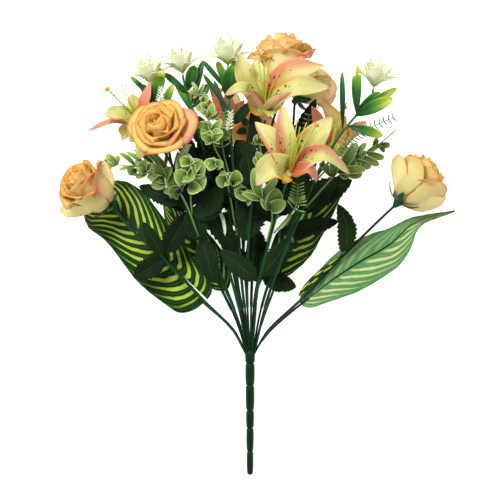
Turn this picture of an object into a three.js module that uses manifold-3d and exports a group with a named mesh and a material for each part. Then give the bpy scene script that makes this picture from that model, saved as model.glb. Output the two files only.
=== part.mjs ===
// Artificial mixed flower bouquet: fabric and plastic flowers on stems moulded into one handle.
// It lies on its back on the surface z = 0, flowers towards +Y, handle towards -Y, +Z towards
// the eye that looks down on it. Millimetres.
import * as THREE from "three";
import Module from "manifold-3d";

const wasm = await Module();
wasm.setup();

// Places are read off the front view, a square of 500 steps seen from straight above.
const STEP = 1.12; // mm a step covers at the reference height
const REFERENCE_HEIGHT = 100;
const EYE_HEIGHT = 1673;
const VIEW_X = -11.8;
const VIEW_Y = 13.2;

// Sheet thicknesses, stem radii and the gap kept between touching pieces.
const LEAF = 0.8;
const PETAL = 0.9;
const STUB_RADIUS = 1.25;
const SLEEVE_RADIUS = 1.7;
const GAP = 0.3;
const SMOOTHING = 0.35; // how far fusing may move a surface to drop needless edges

const V = (x, y, z) => new THREE.Vector3(x, y, z);
const lerp = (a, b, t) => a + (b - a) * t;
const clamp = (x, low, high) => Math.min(high, Math.max(low, x));

// A place of the front view at a height; higher places are drawn in towards the eye.
function at(px, py, z) {
  const size = (STEP * (EYE_HEIGHT - z)) / (EYE_HEIGHT - REFERENCE_HEIGHT);
  return V(VIEW_X + (px - 250) * size, VIEW_Y + (250 - py) * size, z);
}

function solidOf(points, triangles) {
  const vertProperties = new Float32Array(points.flatMap((p) => [p.x, p.y, p.z]));
  const triVerts = new Uint32Array(triangles.flat());
  return new wasm.Manifold(new wasm.Mesh({ numProp: 3, vertProperties, triVerts }));
}

// Whether two corners of a body lie at one place, where its surface would touch itself.
function pinched(body) {
  const { vertProperties, numVert } = body.getMesh();
  const places = new Set();
  for (let k = 0; k < numVert; k++) {
    const place = vertProperties.slice(3 * k, 3 * k + 3);
    places.add([...place].map((value) => value.toFixed(3)).join());
  }
  return places.size < numVert;
}

// One body out of many: loose scraps are left out, and the smoothing is eased where it would
// pinch the body.
function fuse(solids) {
  const joined = wasm.Manifold.union(solids).asOriginal();
  let smoothing = SMOOTHING;
  let body = null;
  do {
    const bodies = joined.simplify(smoothing).decompose();
    bodies.sort((a, b) => b.volume() - a.volume());
    body = bodies[0];
    smoothing *= 0.93;
  } while (pinched(body) && smoothing > 0.25);
  return body;
}

// Nothing reaches under the surface that the bouquet lies on.
function onSurface(solid) {
  return fuse([solid.trimByPlane([0, 0, 1], 0)]);
}

function surfaceNormal(surface, u, v) {
  const e = 0.02;
  const du = surface(Math.min(1, u + e), v).sub(surface(Math.max(-1, u - e), v));
  const dv = surface(u, Math.min(1, v + e)).sub(surface(u, Math.max(0, v - e)));
  return du.cross(dv).normalize();
}

// Gives a flat net of triangles a thickness: both faces are split alike and a wall runs round
// the rim, which is listed against the clock as seen from the upper face.
function thicken(places, normals, faces, rim, thick) {
  const count = places.length;
  const upper = places.map((p, k) => p.clone().addScaledVector(normals[k], thick / 2));
  const lower = places.map((p, k) => p.clone().addScaledVector(normals[k], -thick / 2));
  const triangles = [];
  for (const [a, b, c] of faces) {
    triangles.push([a, b, c], [a + count, c + count, b + count]);
  }
  rim.forEach((a, k) => {
    const b = rim[(k + 1) % rim.length];
    triangles.push([a + count, b + count, b], [a + count, b, a]);
  });
  return solidOf([...upper, ...lower], triangles);
}

// Thin closed blade over a surface: u runs -1..1 across and v runs 0..1 along.
function blade(surface, across, along, thick) {
  const places = [];
  const normals = [];
  for (let j = 0; j <= along; j++) {
    for (let i = 0; i <= across; i++) {
      const u = (2 * i) / across - 1;
      const v = j / along;
      places.push(surface(u, v));
      normals.push(surfaceNormal(surface, u, v));
    }
  }
  const id = (i, j) => j * (across + 1) + i;
  const faces = [];
  for (let j = 0; j < along; j++) {
    for (let i = 0; i < across; i++) {
      faces.push([id(i, j), id(i + 1, j), id(i + 1, j + 1)]);
      faces.push([id(i, j), id(i + 1, j + 1), id(i, j + 1)]);
    }
  }
  const rim = [];
  for (let i = 0; i < across; i++) rim.push(id(i, 0));
  for (let j = 0; j < along; j++) rim.push(id(across, j));
  for (let i = across; i > 0; i--) rim.push(id(i, along));
  for (let j = along; j > 0; j--) rim.push(id(0, j));
  return thicken(places, normals, faces, rim, thick);
}

// Closed tube through points, with a radius for each and, where given, a direction for each.
function tube(points, radii, sides, directions = []) {
  const rings = [];
  let across = null;
  points.forEach((p, k) => {
    const before = points[Math.max(0, k - 1)];
    const after = points[Math.min(points.length - 1, k + 1)];
    const along = directions[k] || after.clone().sub(before).normalize();
    if (!across) across = Math.abs(along.z) < 0.9 ? V(0, 0, 1) : V(1, 0, 0);
    across = across.clone().addScaledVector(along, -across.dot(along)).normalize();
    const third = along.clone().cross(across);
    for (let i = 0; i < sides; i++) {
      const angle = (2 * Math.PI * i) / sides;
      const ring = p.clone().addScaledVector(across, radii[k] * Math.cos(angle));
      rings.push(ring.addScaledVector(third, radii[k] * Math.sin(angle)));
    }
  });
  const triangles = [];
  for (let k = 0; k + 1 < points.length; k++) {
    for (let i = 0; i < sides; i++) {
      const a = k * sides + i;
      const b = k * sides + ((i + 1) % sides);
      triangles.push([a, b, b + sides], [a, b + sides, a + sides]);
    }
  }
  const last = (points.length - 1) * sides;
  for (let i = 1; i + 1 < sides; i++) {
    triangles.push([0, i + 1, i], [last, last + i, last + i + 1]);
  }
  return solidOf(rings, triangles);
}

// Turned solid about local +Z; the profile of [radius, height] runs from the axis to the axis.
function turned(profile, sides) {
  const points = [];
  const ringOf = [];
  for (const [r, z] of profile) {
    ringOf.push({ first: points.length, count: r > 0 ? sides : 1 });
    for (let i = 0; i < (r > 0 ? sides : 1); i++) {
      const angle = (2 * Math.PI * i) / sides;
      points.push(V(r * Math.cos(angle), r * Math.sin(angle), z));
    }
  }
  const triangles = [];
  for (let k = 0; k + 1 < ringOf.length; k++) {
    const low = ringOf[k];
    const high = ringOf[k + 1];
    for (let i = 0; i < sides; i++) {
      const j = (i + 1) % sides;
      const [a, b] = [low.first + (i % low.count), low.first + (j % low.count)];
      const [c, d] = [high.first + (i % high.count), high.first + (j % high.count)];
      if (low.count > 1) triangles.push([a, b, high.count > 1 ? d : c]);
      if (high.count > 1) triangles.push([a, d, c]);
    }
  }
  return solidOf(points, triangles);
}

// Moves a local solid so that local +Z points along facing and local +X stays close to side.
function stand(solid, origin, facing, side = V(1, 0, 0)) {
  const z = facing.clone().normalize();
  const x = side.clone().addScaledVector(z, -side.dot(z)).normalize();
  const y = z.clone().cross(x);
  const matrix = new THREE.Matrix4().makeBasis(x, y, z).setPosition(origin);
  return solid.transform(matrix.elements);
}

// Half-width along a blade, 1 at its widest, which lies at a / (a + b) of the length.
function outline(a, b, least = 0.07) {
  const top = Math.pow(a / (a + b), a) * Math.pow(b / (a + b), b);
  return (v) => Math.max(least, (Math.pow(v, a) * Math.pow(1 - v, b)) / top);
}

// Surface from base to tip. face is the side that the upper face looks to, bow lifts the middle
// of the length, cup lifts the edges, fold creases the midrib and wave ripples the edges.
function limb(base, tip, face, width, shape, bend = {}) {
  const { bow = 0, cup = 0, fold = 0, wave = 0, waves = 3, sway = 0 } = bend;
  const along = tip.clone().sub(base);
  const length = along.length();
  along.normalize();
  const side = along.clone().cross(face).normalize();
  const normal = side.clone().cross(along).normalize();
  return (u, v) => {
    const half = (width / 2) * shape(v);
    const lift = 4 * v * (1 - v) * bow * length;
    const edge = half * (cup * u * u + fold * Math.abs(u));
    const ripple = wave * half * u * u * Math.sin(2 * Math.PI * waves * v + (u > 0 ? 0 : 1));
    return base
      .clone()
      .addScaledVector(along, length * v)
      .addScaledVector(side, half * u + 4 * v * (1 - v) * sway * length)
      .addScaledVector(normal, lift + edge + ripple);
  };
}

const TEETH = 3;
const roseLeafShape = (v) => {
  const notch = 1 - Math.abs(Math.cos(Math.PI * TEETH * v));
  return outline(0.55, 0.6, 0.1)(v) * (1 - 0.13 * notch);
};

// Dark serrated rose leaf with the petiole that joins it to a stem.
function roseLeaf(from, base, tip, width, bend) {
  const surface = limb(base, tip, V(0, 0, 1), width, roseLeafShape, bend);
  const petiole = tube([from, surface(0, 0), surface(0, 0.12)], [1.0, 0.9, 0.8], 4);
  return [blade(surface, 2, 2 * TEETH, LEAF), petiole];
}

// Glossy narrow leaf of the white sprigs.
function sprigLeaf(base, tip, face, width, bend) {
  return blade(limb(base, tip, face, width, outline(0.85, 0.55, 0.12), bend), 2, 3, LEAF);
}

// Round eucalyptus leaf.
function roundLeaf(base, tip, face, width, bend = { cup: 0.25 }) {
  return blade(limb(base, tip, face, width, outline(0.45, 0.3, 0.2), bend), 2, 3, LEAF);
}

const HANDLE_TOP = at(250, 351, 30);
const HANDLE_END = at(250, 474.4, 2.9);

// Each stem leaves the handle as a stub; from the share sleeve on it belongs to its flower.
const STEM_PATHS = {
  rose_a: {
    sleeve: 0.25,
    via: [[247, 354, 31], [236, 320, 40], [221, 288, 56], [200, 240, 86], [180, 190, 112], [165, 143, 130]],
  },
  rose_b: {
    sleeve: 0.25,
    via: [[251, 354, 30], [251, 318, 34], [252, 280, 42], [256, 220, 60], [266, 150, 84], [281, 92, 104]],
  },
  rose_c: {
    sleeve: 0.16,
    via: [[246, 354, 31], [235, 332, 36], [200, 297, 50], [159, 254, 64], [135, 233, 69], [111, 206, 72]],
  },
  rose_d: {
    sleeve: 0.16,
    via: [[254, 354, 31], [267, 332, 33], [306, 295, 38], [336, 263, 45], [366, 233, 54], [396, 204, 67]],
  },
  rose_e: {
    sleeve: 0.25,
    via: [[249, 354, 28], [248, 318, 26], [246, 285, 26], [242, 230, 34], [240, 180, 56], [248, 140, 62]],
  },
  rose_f: {
    sleeve: 0.25,
    via: [[252, 354, 28], [253, 318, 26], [257, 285, 25], [274, 220, 30], [288, 150, 40], [298, 104, 48]],
  },
  lily_1: {
    sleeve: 0.25,
    via: [[250, 354, 32], [248, 318, 43], [247, 285, 58], [250, 220, 90], [257, 160, 116], [263, 125, 129]],
  },
  lily_2: {
    sleeve: 0.3,
    via: [[252, 354, 33], [255, 318, 46], [258, 285, 66], [268, 246, 94], [281, 200, 130], [288, 176, 152]],
  },
  lily_3: {
    sleeve: 0.25,
    via: [[253, 354, 31], [259, 318, 38], [268, 285, 48], [290, 230, 66], [314, 182, 82], [326, 162, 92]],
  },
  lily_4: {
    sleeve: 0.25,
    via: [[247, 354, 29], [238, 320, 33], [226, 288, 40], [202, 230, 54], [172, 165, 72], [152, 130, 88]],
  },
  lily_5: {
    sleeve: 0.25,
    via: [[249, 354, 29], [244, 318, 29], [238, 285, 31], [232, 230, 42], [226, 180, 48], [224, 134, 50]],
  },
  white_1: {
    sleeve: 0.25,
    via: [[248, 354, 32], [241, 318, 41], [233, 285, 54], [212, 215, 76], [180, 150, 92], [152, 92, 98]],
  },
  white_2: {
    sleeve: 0.25,
    via: [[249, 354, 30], [243, 318, 35], [236, 285, 44], [222, 220, 64], [204, 150, 84], [185, 80, 88]],
  },
  white_3: {
    sleeve: 0.25,
    via: [[250, 354, 31], [246, 318, 38], [242, 285, 49], [238, 220, 76], [232, 150, 104], [227, 72, 108]],
  },
  white_4: {
    sleeve: 0.25,
    via: [[254, 354, 32], [262, 318, 42], [272, 285, 58], [298, 220, 92], [328, 153, 122], [358, 112, 134]],
  },
  leaf_1: {
    sleeve: 0.3,
    via: [[246, 354, 28], [231, 328, 26], [200, 299, 28], [172, 267, 30]],
  },
  leaf_2: {
    sleeve: 0.3,
    via: [[248, 354, 28], [240, 326, 24], [230, 300, 21], [222, 284, 20]],
  },
  leaf_3: {
    sleeve: 0.3,
    via: [[254, 354, 29], [262, 322, 28], [271, 297, 28], [281, 272, 30]],
  },
  leaf_4: {
    sleeve: 0.2,
    via: [[253, 354, 29], [268, 333, 27], [290, 313, 29], [309, 298, 32]],
  },
};

const stems = {};
for (const [name, { via, sleeve }] of Object.entries(STEM_PATHS)) {
  const curve = new THREE.CatmullRomCurve3(via.map(([px, py, z]) => at(px, py, z)), false, "centripetal");
  stems[name] = { curve, sleeve };
}

// A length of a stem between two shares of its curve, its radius running from one to another.
function stemPiece(name, from, to, radius, endRadius, pieces) {
  const { curve } = stems[name];
  const points = [];
  const radii = [];
  const directions = [];
  for (let k = 0; k <= pieces; k++) {
    const t = lerp(from, to, k / pieces);
    points.push(curve.getPoint(t));
    directions.push(curve.getTangent(t));
    radii.push(lerp(radius, endRadius, k / pieces));
  }
  return tube(points, radii, 5, directions);
}

const stub = (name) => stemPiece(name, 0, stems[name].sleeve, STUB_RADIUS, STUB_RADIUS, 2);

// The sleeve starts a gap beyond the end of its stub and narrows towards the flower.
function sleeve(name, end = 1, pieces = 4) {
  const { curve, sleeve: from } = stems[name];
  const speed = curve.getPoint(from + 0.01).distanceTo(curve.getPoint(from)) * 100;
  const start = from + (2 * GAP) / speed;
  return stemPiece(name, start, end, SLEEVE_RADIUS, 1.35, pieces);
}

const onStem = (name, t) => stems[name].curve.getPoint(t);

// Start of a side sprig that is seated on a stem and leaves it towards a place.
const SPRIG_RADIUS = 1.1;
function sproutFrom(name, t, towards) {
  const p = onStem(name, t);
  const tangent = stems[name].curve.getTangent(t);
  const way = towards.clone().sub(p);
  const lean = Math.abs(way.clone().normalize().dot(tangent));
  way.addScaledVector(tangent, -way.dot(tangent)).normalize();
  const stemRadius = lerp(SLEEVE_RADIUS, 1.35, t);
  return p.addScaledVector(way, stemRadius + GAP + 0.1 + SPRIG_RADIUS * lean * lean);
}

// End of a flower's stem: it turns into the flower's axis and stops a gap under the seat.
function neck(name, seat, axis, radius) {
  const down = axis.clone().normalize();
  const below = (depth) => seat.clone().addScaledVector(down, -depth);
  return tube([onStem(name, 0.9), below(6), below(GAP)], [1.35, 1.45, radius], 5);
}

function stalk(points, from, to, sides = 5) {
  const radii = points.map((p, k) => lerp(from, to, k / (points.length - 1)));
  return tube(points, radii, sides);
}

// One ring of petals in the rose's own frame, a closed cup. The radius steps in at the end of
// each petal, so that every petal lies over the next one.
function petalRing({ level, count, columns, belly, rim, height, droop, turn, notch }) {
  const share = 0.86;
  const base = 3.6 - 0.4 * level;
  const foot = 0.3 * level;
  const surfaceOf = (i) => (u, v) => {
    const f = (share * (u + 1)) / 2;
    const w = v * (1 - notch * Math.pow(Math.abs(u), 3));
    const rise = Math.sin((Math.min(1, w * 1.3) * Math.PI) / 2);
    const late = clamp((w - 0.5) / 0.5, 0, 1);
    const angle = turn + (2 * Math.PI * (i + f)) / count;
    const curl = (rim - belly) * late * late * (1 - 0.45 * u * u);
    const r = (lerp(base, belly, rise) + curl) * (1 + 0.2 * (f - 0.43) * rise);
    const z = foot + height * w - droop * late * late * (1 - 0.6 * u * u);
    return V(r * Math.cos(angle), r * Math.sin(angle), z);
  };
  const rows = 3;
  const points = [V(0, 0, foot), V(0, 0, height * 0.34)];
  const outer = [];
  const inner = [];
  for (let i = 0; i < count; i++) {
    const surface = surfaceOf(i);
    for (let k = 0; k < columns; k++) {
      const u = (2 * k) / (columns - 1) - 1;
      for (let j = 0; j <= rows; j++) {
        const v = j / rows;
        const p = surface(u, v);
        outer.push(points.length);
        points.push(p);
        inner.push(points.length);
        points.push(p.clone().addScaledVector(surfaceNormal(surface, u, v), -PETAL));
      }
    }
  }
  const total = count * columns;
  const out = (c, j) => outer[(c % total) * (rows + 1) + j];
  const into = (c, j) => inner[(c % total) * (rows + 1) + j];
  const triangles = [];
  for (let c = 0; c < total; c++) {
    const d = c + 1;
    triangles.push([0, out(d, 0), out(c, 0)], [1, into(c, 1), into(d, 1)]);
    for (let j = 0; j < rows; j++) {
      triangles.push([out(c, j), out(d, j), out(d, j + 1)], [out(c, j), out(d, j + 1), out(c, j + 1)]);
      if (j === 0) continue;
      triangles.push([into(c, j), into(d, j + 1), into(d, j)], [into(c, j), into(c, j + 1), into(d, j + 1)]);
    }
    triangles.push([out(c, rows), out(d, rows), into(d, rows)], [out(c, rows), into(d, rows), into(c, rows)]);
  }
  return solidOf(points, triangles);
}

// Rings of petals round a closed heart; each ring: petals, columns a petal, belly and rim as
// shares of the radius, height as a share of the height, droop of the rim in mm.
function roseBloom(radius, height, rings) {
  const h = height;
  const r = radius * 0.2;
  const heart = [[0, 2], [r * 0.5, h * 0.42], [r, h * 0.68], [r * 0.6, h * 0.92], [0, h * 0.86]];
  const solids = [turned(heart, 5)];
  rings.forEach(([count, columns, belly, rim, tall, droop], k) => {
    solids.push(
      petalRing({
        level: k,
        count,
        columns,
        belly: belly * radius,
        rim: rim * radius,
        height: tall * height,
        droop,
        turn: 1.1 * k,
        notch: k ? 0.07 : 0.12,
      }),
    );
  });
  return fuse(solids);
}

// Cup, five sepals and the end of the stem under a rose.
function calyx(reach = 13, rise = 3) {
  const solids = [turned([[0, -11], [2, -11], [5.6, -4], [5.2, -GAP], [0, -GAP]].reverse(), 6)];
  for (let i = 0; i < 5; i++) {
    const turn = (2 * Math.PI * i) / 5 + 0.3;
    const out = V(Math.cos(turn), Math.sin(turn), 0);
    const base = out.clone().multiplyScalar(4).setZ(-3.2);
    const tip = out.clone().multiplyScalar(5 + reach).setZ(rise);
    const shape = outline(0.3, 0.7, 0.12);
    solids.push(blade(limb(base, tip, V(0, 0, 1), 8, shape, { bow: -0.1 }), 1, 2, LEAF));
  }
  return solids;
}

const OPEN_RINGS = [
  [5, 4, 0.8, 1.0, 0.68, 4],
  [4, 4, 0.64, 0.78, 0.84, 2],
  [4, 3, 0.46, 0.54, 0.94, 0.5],
  [3, 3, 0.3, 0.3, 1.0, 0],
];
const BUD_RINGS = [
  [4, 4, 0.86, 1.02, 0.84, 3],
  [4, 3, 0.66, 0.7, 0.94, 1],
  [3, 3, 0.38, 0.36, 1.0, 0],
];
const BACK_RINGS = [
  [5, 3, 0.8, 1.0, 0.78, 3],
  [3, 3, 0.5, 0.54, 0.95, 0],
];

const ROSES = {
  a: {
    seat: at(163, 134, 136),
    facing: V(-0.16, 0.3, 1),
    radius: 37,
    height: 40,
    rings: OPEN_RINGS,
    spin: 0.2,
  },
  b: {
    seat: at(283, 84, 108),
    facing: V(-0.12, 1, 0.3),
    radius: 38,
    height: 56,
    rings: OPEN_RINGS,
    spin: 0.62,
  },
  c: {
    seat: at(108, 203, 73),
    facing: V(-0.74, 0.52, 0.42),
    radius: 32,
    height: 58,
    rings: BUD_RINGS,
    spin: 0.1,
  },
  d: {
    seat: at(400, 200, 69),
    facing: V(0.66, 0.74, -0.05),
    radius: 32,
    height: 58,
    rings: BUD_RINGS,
    spin: 0.7,
  },
  e: {
    seat: at(250, 128, 38),
    facing: V(0.02, 0.12, -1),
    radius: 31,
    height: 46,
    rings: BACK_RINGS,
    spin: 0,
  },
  f: {
    seat: at(299, 98, 44),
    facing: V(0.7, 0.5, -0.55),
    radius: 32,
    height: 46,
    rings: BACK_RINGS,
    spin: 0.4,
  },
};

// Leaves of each rose stem: [share of the stem, base, tip, width, bend].
const ROSE_LEAVES = {
  a: [
    [0.62, [180, 203, 104], [139, 186, 100], 22, { bow: -0.04, fold: 0.2 }],
    [0.56, [199, 216, 99], [223, 187, 103], 28, { bow: 0.04, fold: 0.15 }],
    [0.48, [199, 240, 88], [191, 206, 96], 30, { bow: 0.05, fold: 0.25 }],
    [0.46, [202, 238, 84], [214, 283, 76], 28, { bow: 0.06, fold: 0.25 }],
  ],
  b: [
    [0.66, [262, 182, 82], [236, 140, 92], 38, { bow: 0.04, fold: 0.15 }],
    [0.62, [256, 194, 72], [217, 163, 79], 32, { bow: 0.04, fold: 0.15 }],
    [0.5, [256, 196, 76], [244, 241, 76], 38, { bow: 0.1, fold: 0.3 }],
    [0.42, [262, 276, 58], [291, 239, 67], 27, { bow: 0, fold: 0.1 }],
  ],
  c: [
    [0.62, [163, 256, 62], [143, 222, 76], 18, { bow: 0.06, fold: 0.3 }],
    [0.6, [166, 252, 62], [188, 213, 78], 28, { bow: 0.06, fold: 0.25 }],
    [0.6, [164, 260, 60], [134, 277, 56], 27, { bow: 0.08, fold: 0.25 }],
  ],
  d: [
    [0.6, [343, 252, 52], [338, 204, 66], 24, { bow: 0.06, fold: 0.35, sway: 0.12 }],
  ],
  e: [
    [0.5, [244, 214, 33], [222, 184, 28], 32, { bow: 0.03, fold: 0.2 }],
    [0.46, [248, 214, 34], [217, 221, 26], 22, { bow: 0.06, fold: 0.2 }],
    [0.36, [246, 274, 27], [225, 242, 21], 30, { bow: 0.03, fold: 0.2 }],
  ],
  f: [
    [0.6, [300, 203, 46], [352, 180, 62], 34, { bow: 0.06, fold: 0.3 }],
    [0.52, [272, 222, 34], [263, 188, 34], 28, { bow: 0.05, fold: 0.2 }],
    [0.42, [282, 233, 52], [339, 221, 60], 22, { bow: 0.05, fold: 0.3 }],
    [0.3, [263, 278, 38], [296, 287, 38], 25, { bow: 0.03, fold: 0.2 }],
  ],
};

function roseParts(key) {
  const { seat, facing, radius, height, rings, spin } = ROSES[key];
  const side = V(Math.cos(spin), Math.sin(spin), 0.2);
  const bloom = stand(roseBloom(radius, height, rings), seat, facing, side);
  const name = `rose_${key}`;
  const solids = calyx().map((s) => stand(s, seat, facing, side));
  solids.push(sleeve(name, 0.9), neck(name, seat, facing, 2));
  for (const [t, base, tip, width, bend] of ROSE_LEAVES[key]) {
    solids.push(...roseLeaf(onStem(name, t), at(...base), at(...tip), width, bend));
  }
  return [bloom, fuse(solids)];
}

// Each petal: middle, tip, width, and the side its upper face looks to when not the lily's own.
const LILIES = {
  1: {
    seat: at(264.5, 119, 132),
    axis: V(-0.02, 0.75, 0.66),
    petals: [
      [[246, 79, 166], [238, 53, 172], 25],
      [[240, 90, 180], [226, 95, 168], 15],
      [[288, 76, 164], [324, 65, 156], 24],
      [[294, 91, 184], [327, 85, 172], 21],
      [[274, 99, 186], [291, 93, 206], 17],
      [[260, 76, 156], [254, 60, 150], 18],
    ],
    stigma: [270, 56, 196],
    anthers: [[264, 60, 190], [284, 64, 190], [250, 70, 194], [259, 63, 186]],
  },
  2: {
    seat: at(289, 175, 156),
    axis: V(0.03, 0.3, 0.95),
    petals: [
      [[271, 138, 190], [255, 122, 182], 19],
      [[285, 132, 192], [282, 105, 184], 20],
      [[315, 137, 192], [332, 117, 190], 26],
      [[322, 153, 200], [350, 174, 176], 17],
      [[309, 168, 192], [316, 180, 172], 14],
      [[271, 167, 190], [256, 185, 176], 27],
    ],
    stigma: [316, 125, 222],
    anthers: [[297, 121, 216], [300, 128, 222], [306, 124, 212], [290, 134, 220]],
  },
  3: {
    seat: at(329, 158, 95),
    axis: V(0.1, 0.8, 0.45),
    petals: [
      [[337, 126, 102], [322, 100, 98], 24],
      [[321, 128, 102], [312, 106, 90], 16],
      [[350, 134, 104], [366, 121, 96], 17],
      [[341, 150, 108], [350, 162, 98], 15],
      [[314, 146, 110], [299, 141, 104], 18],
      [[338, 138, 88], [346, 116, 76], 16],
    ],
    stigma: [344, 107, 124],
    anthers: [[346, 104, 118], [340, 112, 120]],
  },
  4: {
    seat: at(150, 126, 92),
    axis: V(-0.72, 0.45, 0.5),
    petals: [
      [[113, 120, 100], [87, 131.5, 84], 12],
      [[119, 114, 112], [104, 116, 116], 24],
      [[136, 107, 98], [131, 94, 94], 22],
      [[146, 102, 88], [151, 80, 82], 18],
      [[143, 142, 90], [139, 159, 78], 22],
      [[126, 131, 84], [122, 140, 74], 16],
    ],
    stigma: [107, 89, 124],
    anthers: [[111, 94, 116], [123, 86, 120], [116, 98, 124], [129, 88, 114]],
  },
  5: {
    seat: at(224, 129, 52),
    axis: V(-0.1, 0.8, 0.25),
    petals: [
      [[200, 104, 62], [172, 80, 60], 18],
      [[219, 102, 76], [209, 81, 84], 14],
      [[229, 106, 76], [226, 90, 88], 14],
      [[238, 112, 62], [244, 100, 66], 18],
      [[212, 112, 36], [196, 92, 16], 20],
      [[234, 112, 40], [236, 92, 22], 20],
    ],
    stigma: [221, 90, 58],
    anthers: [[216, 96, 57], [226, 98, 57]],
  },
};

const TUBE_LENGTH = 12;
const lilyShape = outline(0.75, 0.62, 0.12);

// A petal rises out of the tube, swells in the middle and runs to a point.
function lilyPetal(seat, axis, middle, tip, width, pieces) {
  const out = middle.clone().sub(seat);
  out.addScaledVector(axis, -out.dot(axis)).normalize();
  const foot = seat.clone().addScaledVector(axis, TUBE_LENGTH - 5).addScaledVector(out, 3.9);
  const neck = seat.clone().addScaledVector(axis, TUBE_LENGTH + 3).addScaledVector(out, 5.8);
  const curve = new THREE.CatmullRomCurve3([foot, neck, middle, tip], false, "centripetal");
  const side = out.clone().cross(axis).normalize();
  const surface = (u, v) => {
    const p = curve.getPoint(v);
    const tangent = curve.getTangent(v);
    const normal = side.clone().cross(tangent).normalize();
    const half = (width / 2) * lilyShape(v);
    return p.addScaledVector(side, half * u).addScaledVector(normal, half * 0.35 * u * u);
  };
  return blade(surface, 2, pieces, PETAL);
}

function lilyParts(key) {
  const { seat, petals, stigma, anthers } = LILIES[key];
  const axis = LILIES[key].axis.clone().normalize();
  const funnel = [[0, 0], [2.6, 0], [3.8, 5], [5.2, TUBE_LENGTH - 3], [0, TUBE_LENGTH - 3]];
  const solids = [stand(turned(funnel, 6), seat, axis)];
  for (const [middle, tip, width] of petals) {
    solids.push(lilyPetal(seat, axis, at(...middle), at(...tip), width, key < 3 ? 5 : 3));
  }
  const bloom = fuse(solids);
  const root = seat.clone().addScaledVector(axis, TUBE_LENGTH - 3 + GAP);
  const knot = [[0, 0], [1.4, 0], [1.4, 2], [0, 2]];
  const threads = [stand(turned(knot, 6), root, axis)];
  for (const [k, place] of [stigma, ...anthers].entries()) {
    const end = at(...place);
    const middle = root.clone().lerp(end, 0.5).addScaledVector(axis, k ? 5 : 7);
    const curve = new THREE.CatmullRomCurve3([root.clone().addScaledVector(axis, 1), middle, end]);
    const points = [0, 0.35, 0.7, 1].map((t) => curve.getPoint(t));
    threads.push(tube(points, k ? [0.6, 0.55, 0.5, 0.8] : [0.8, 0.7, 0.7, 1.8], k ? 3 : 4));
  }
  const name = `lily_${key}`;
  return [bloom, fuse(threads), fuse([sleeve(name, 0.9), neck(name, seat, axis, 2.2)])];
}

// White flowers: seat, axis and the leaves of their sprigs, each [share of the stem, tip, width,
// bend].
const WHITES = {
  1: {
    seat: at(151, 86, 99),
    axis: V(-0.12, 1, 0.25),
    size: 1.0,
    leaves: [
      [0.97, [161, 69, 106], 13, { bow: 0.08 }],
      [0.93, [173, 86, 102], 9, { bow: 0.06 }],
      [0.97, [130, 76, 96], 6, { bow: 0.06 }],
    ],
  },
  2: {
    seat: at(183, 75, 88),
    axis: V(-0.1, 1, 0.2),
    size: 1.05,
    leaves: [
      [0.97, [196, 60, 96], 13, { bow: 0.06 }],
      [0.93, [203, 60, 92], 7, { bow: 0.05 }],
      [0.96, [166, 73, 82], 8, { bow: 0.1 }],
    ],
  },
  3: {
    seat: at(228, 67, 109),
    axis: V(0.02, 1, 0.25),
    size: 1.1,
    leaves: [
      [0.93, [233, 62, 122], 20, { bow: 0.08 }],
      [0.96, [216, 62, 112], 9, { bow: 0.08 }],
      [0.95, [200, 60, 100], 6, { bow: 0.08 }],
    ],
  },
  4: {
    seat: at(372, 89, 137),
    axis: V(0.2, 1, 0.1),
    size: 1.1,
    leaves: [
      [0.9, [342, 71, 140], 6, { bow: 0.05 }],
      [0.99, [354, 75, 142], 11, { bow: 0.06 }],
      [1.0, [357, 64, 146], 10, { bow: 0.08 }],
      [1.0, [397, 88, 146], 9, { bow: 0.08 }],
      [0.98, [393, 98, 152], 16, { bow: 0.08 }],
      [0.93, [383, 136, 132], 11, { bow: 0.12 }],
    ],
  },
};

function whiteBloom(size) {
  const solids = [turned([[0, 0], [1.4, 0], [4.8, 11], [0, 9]], 6)];
  for (let i = 0; i < 5; i++) {
    const turn = (2 * Math.PI * i) / 5 + 0.2;
    const out = V(Math.cos(turn), Math.sin(turn), 0);
    const base = out.clone().multiplyScalar(3.6).setZ(8.5);
    const tip = out.clone().multiplyScalar(i % 2 ? 20 : 17).setZ(i % 2 ? 15 : 20);
    const surface = limb(base, tip, V(0, 0, 1), 9, outline(0.7, 0.6, 0.14), { bow: 0.16 });
    solids.push(blade(surface, 2, 2, LEAF));
  }
  for (let i = 0; i < 3; i++) {
    const turn = (2 * Math.PI * i) / 3;
    const tip = V(4 * Math.cos(turn), 4 * Math.sin(turn), i ? 23 : 26);
    solids.push(tube([V(tip.x * 0.3, tip.y * 0.3, 9), tip], [0.6, 0.8], 3));
  }
  const scaled = new THREE.Matrix4().makeScale(size, size, size);
  return fuse(solids).transform(scaled.elements);
}

function whiteParts(key) {
  const { seat, axis, size, leaves } = WHITES[key];
  const name = `white_${key}`;
  const bloom = stand(whiteBloom(size), seat, axis);
  const solids = [sleeve(name, 0.9), neck(name, seat, axis, 1.5)];
  for (const [t, tip, width, bend] of leaves) {
    solids.push(sprigLeaf(onStem(name, t), at(...tip), V(0, 0, 1), width, bend));
  }
  return [bloom, fuse(solids)];
}

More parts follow.
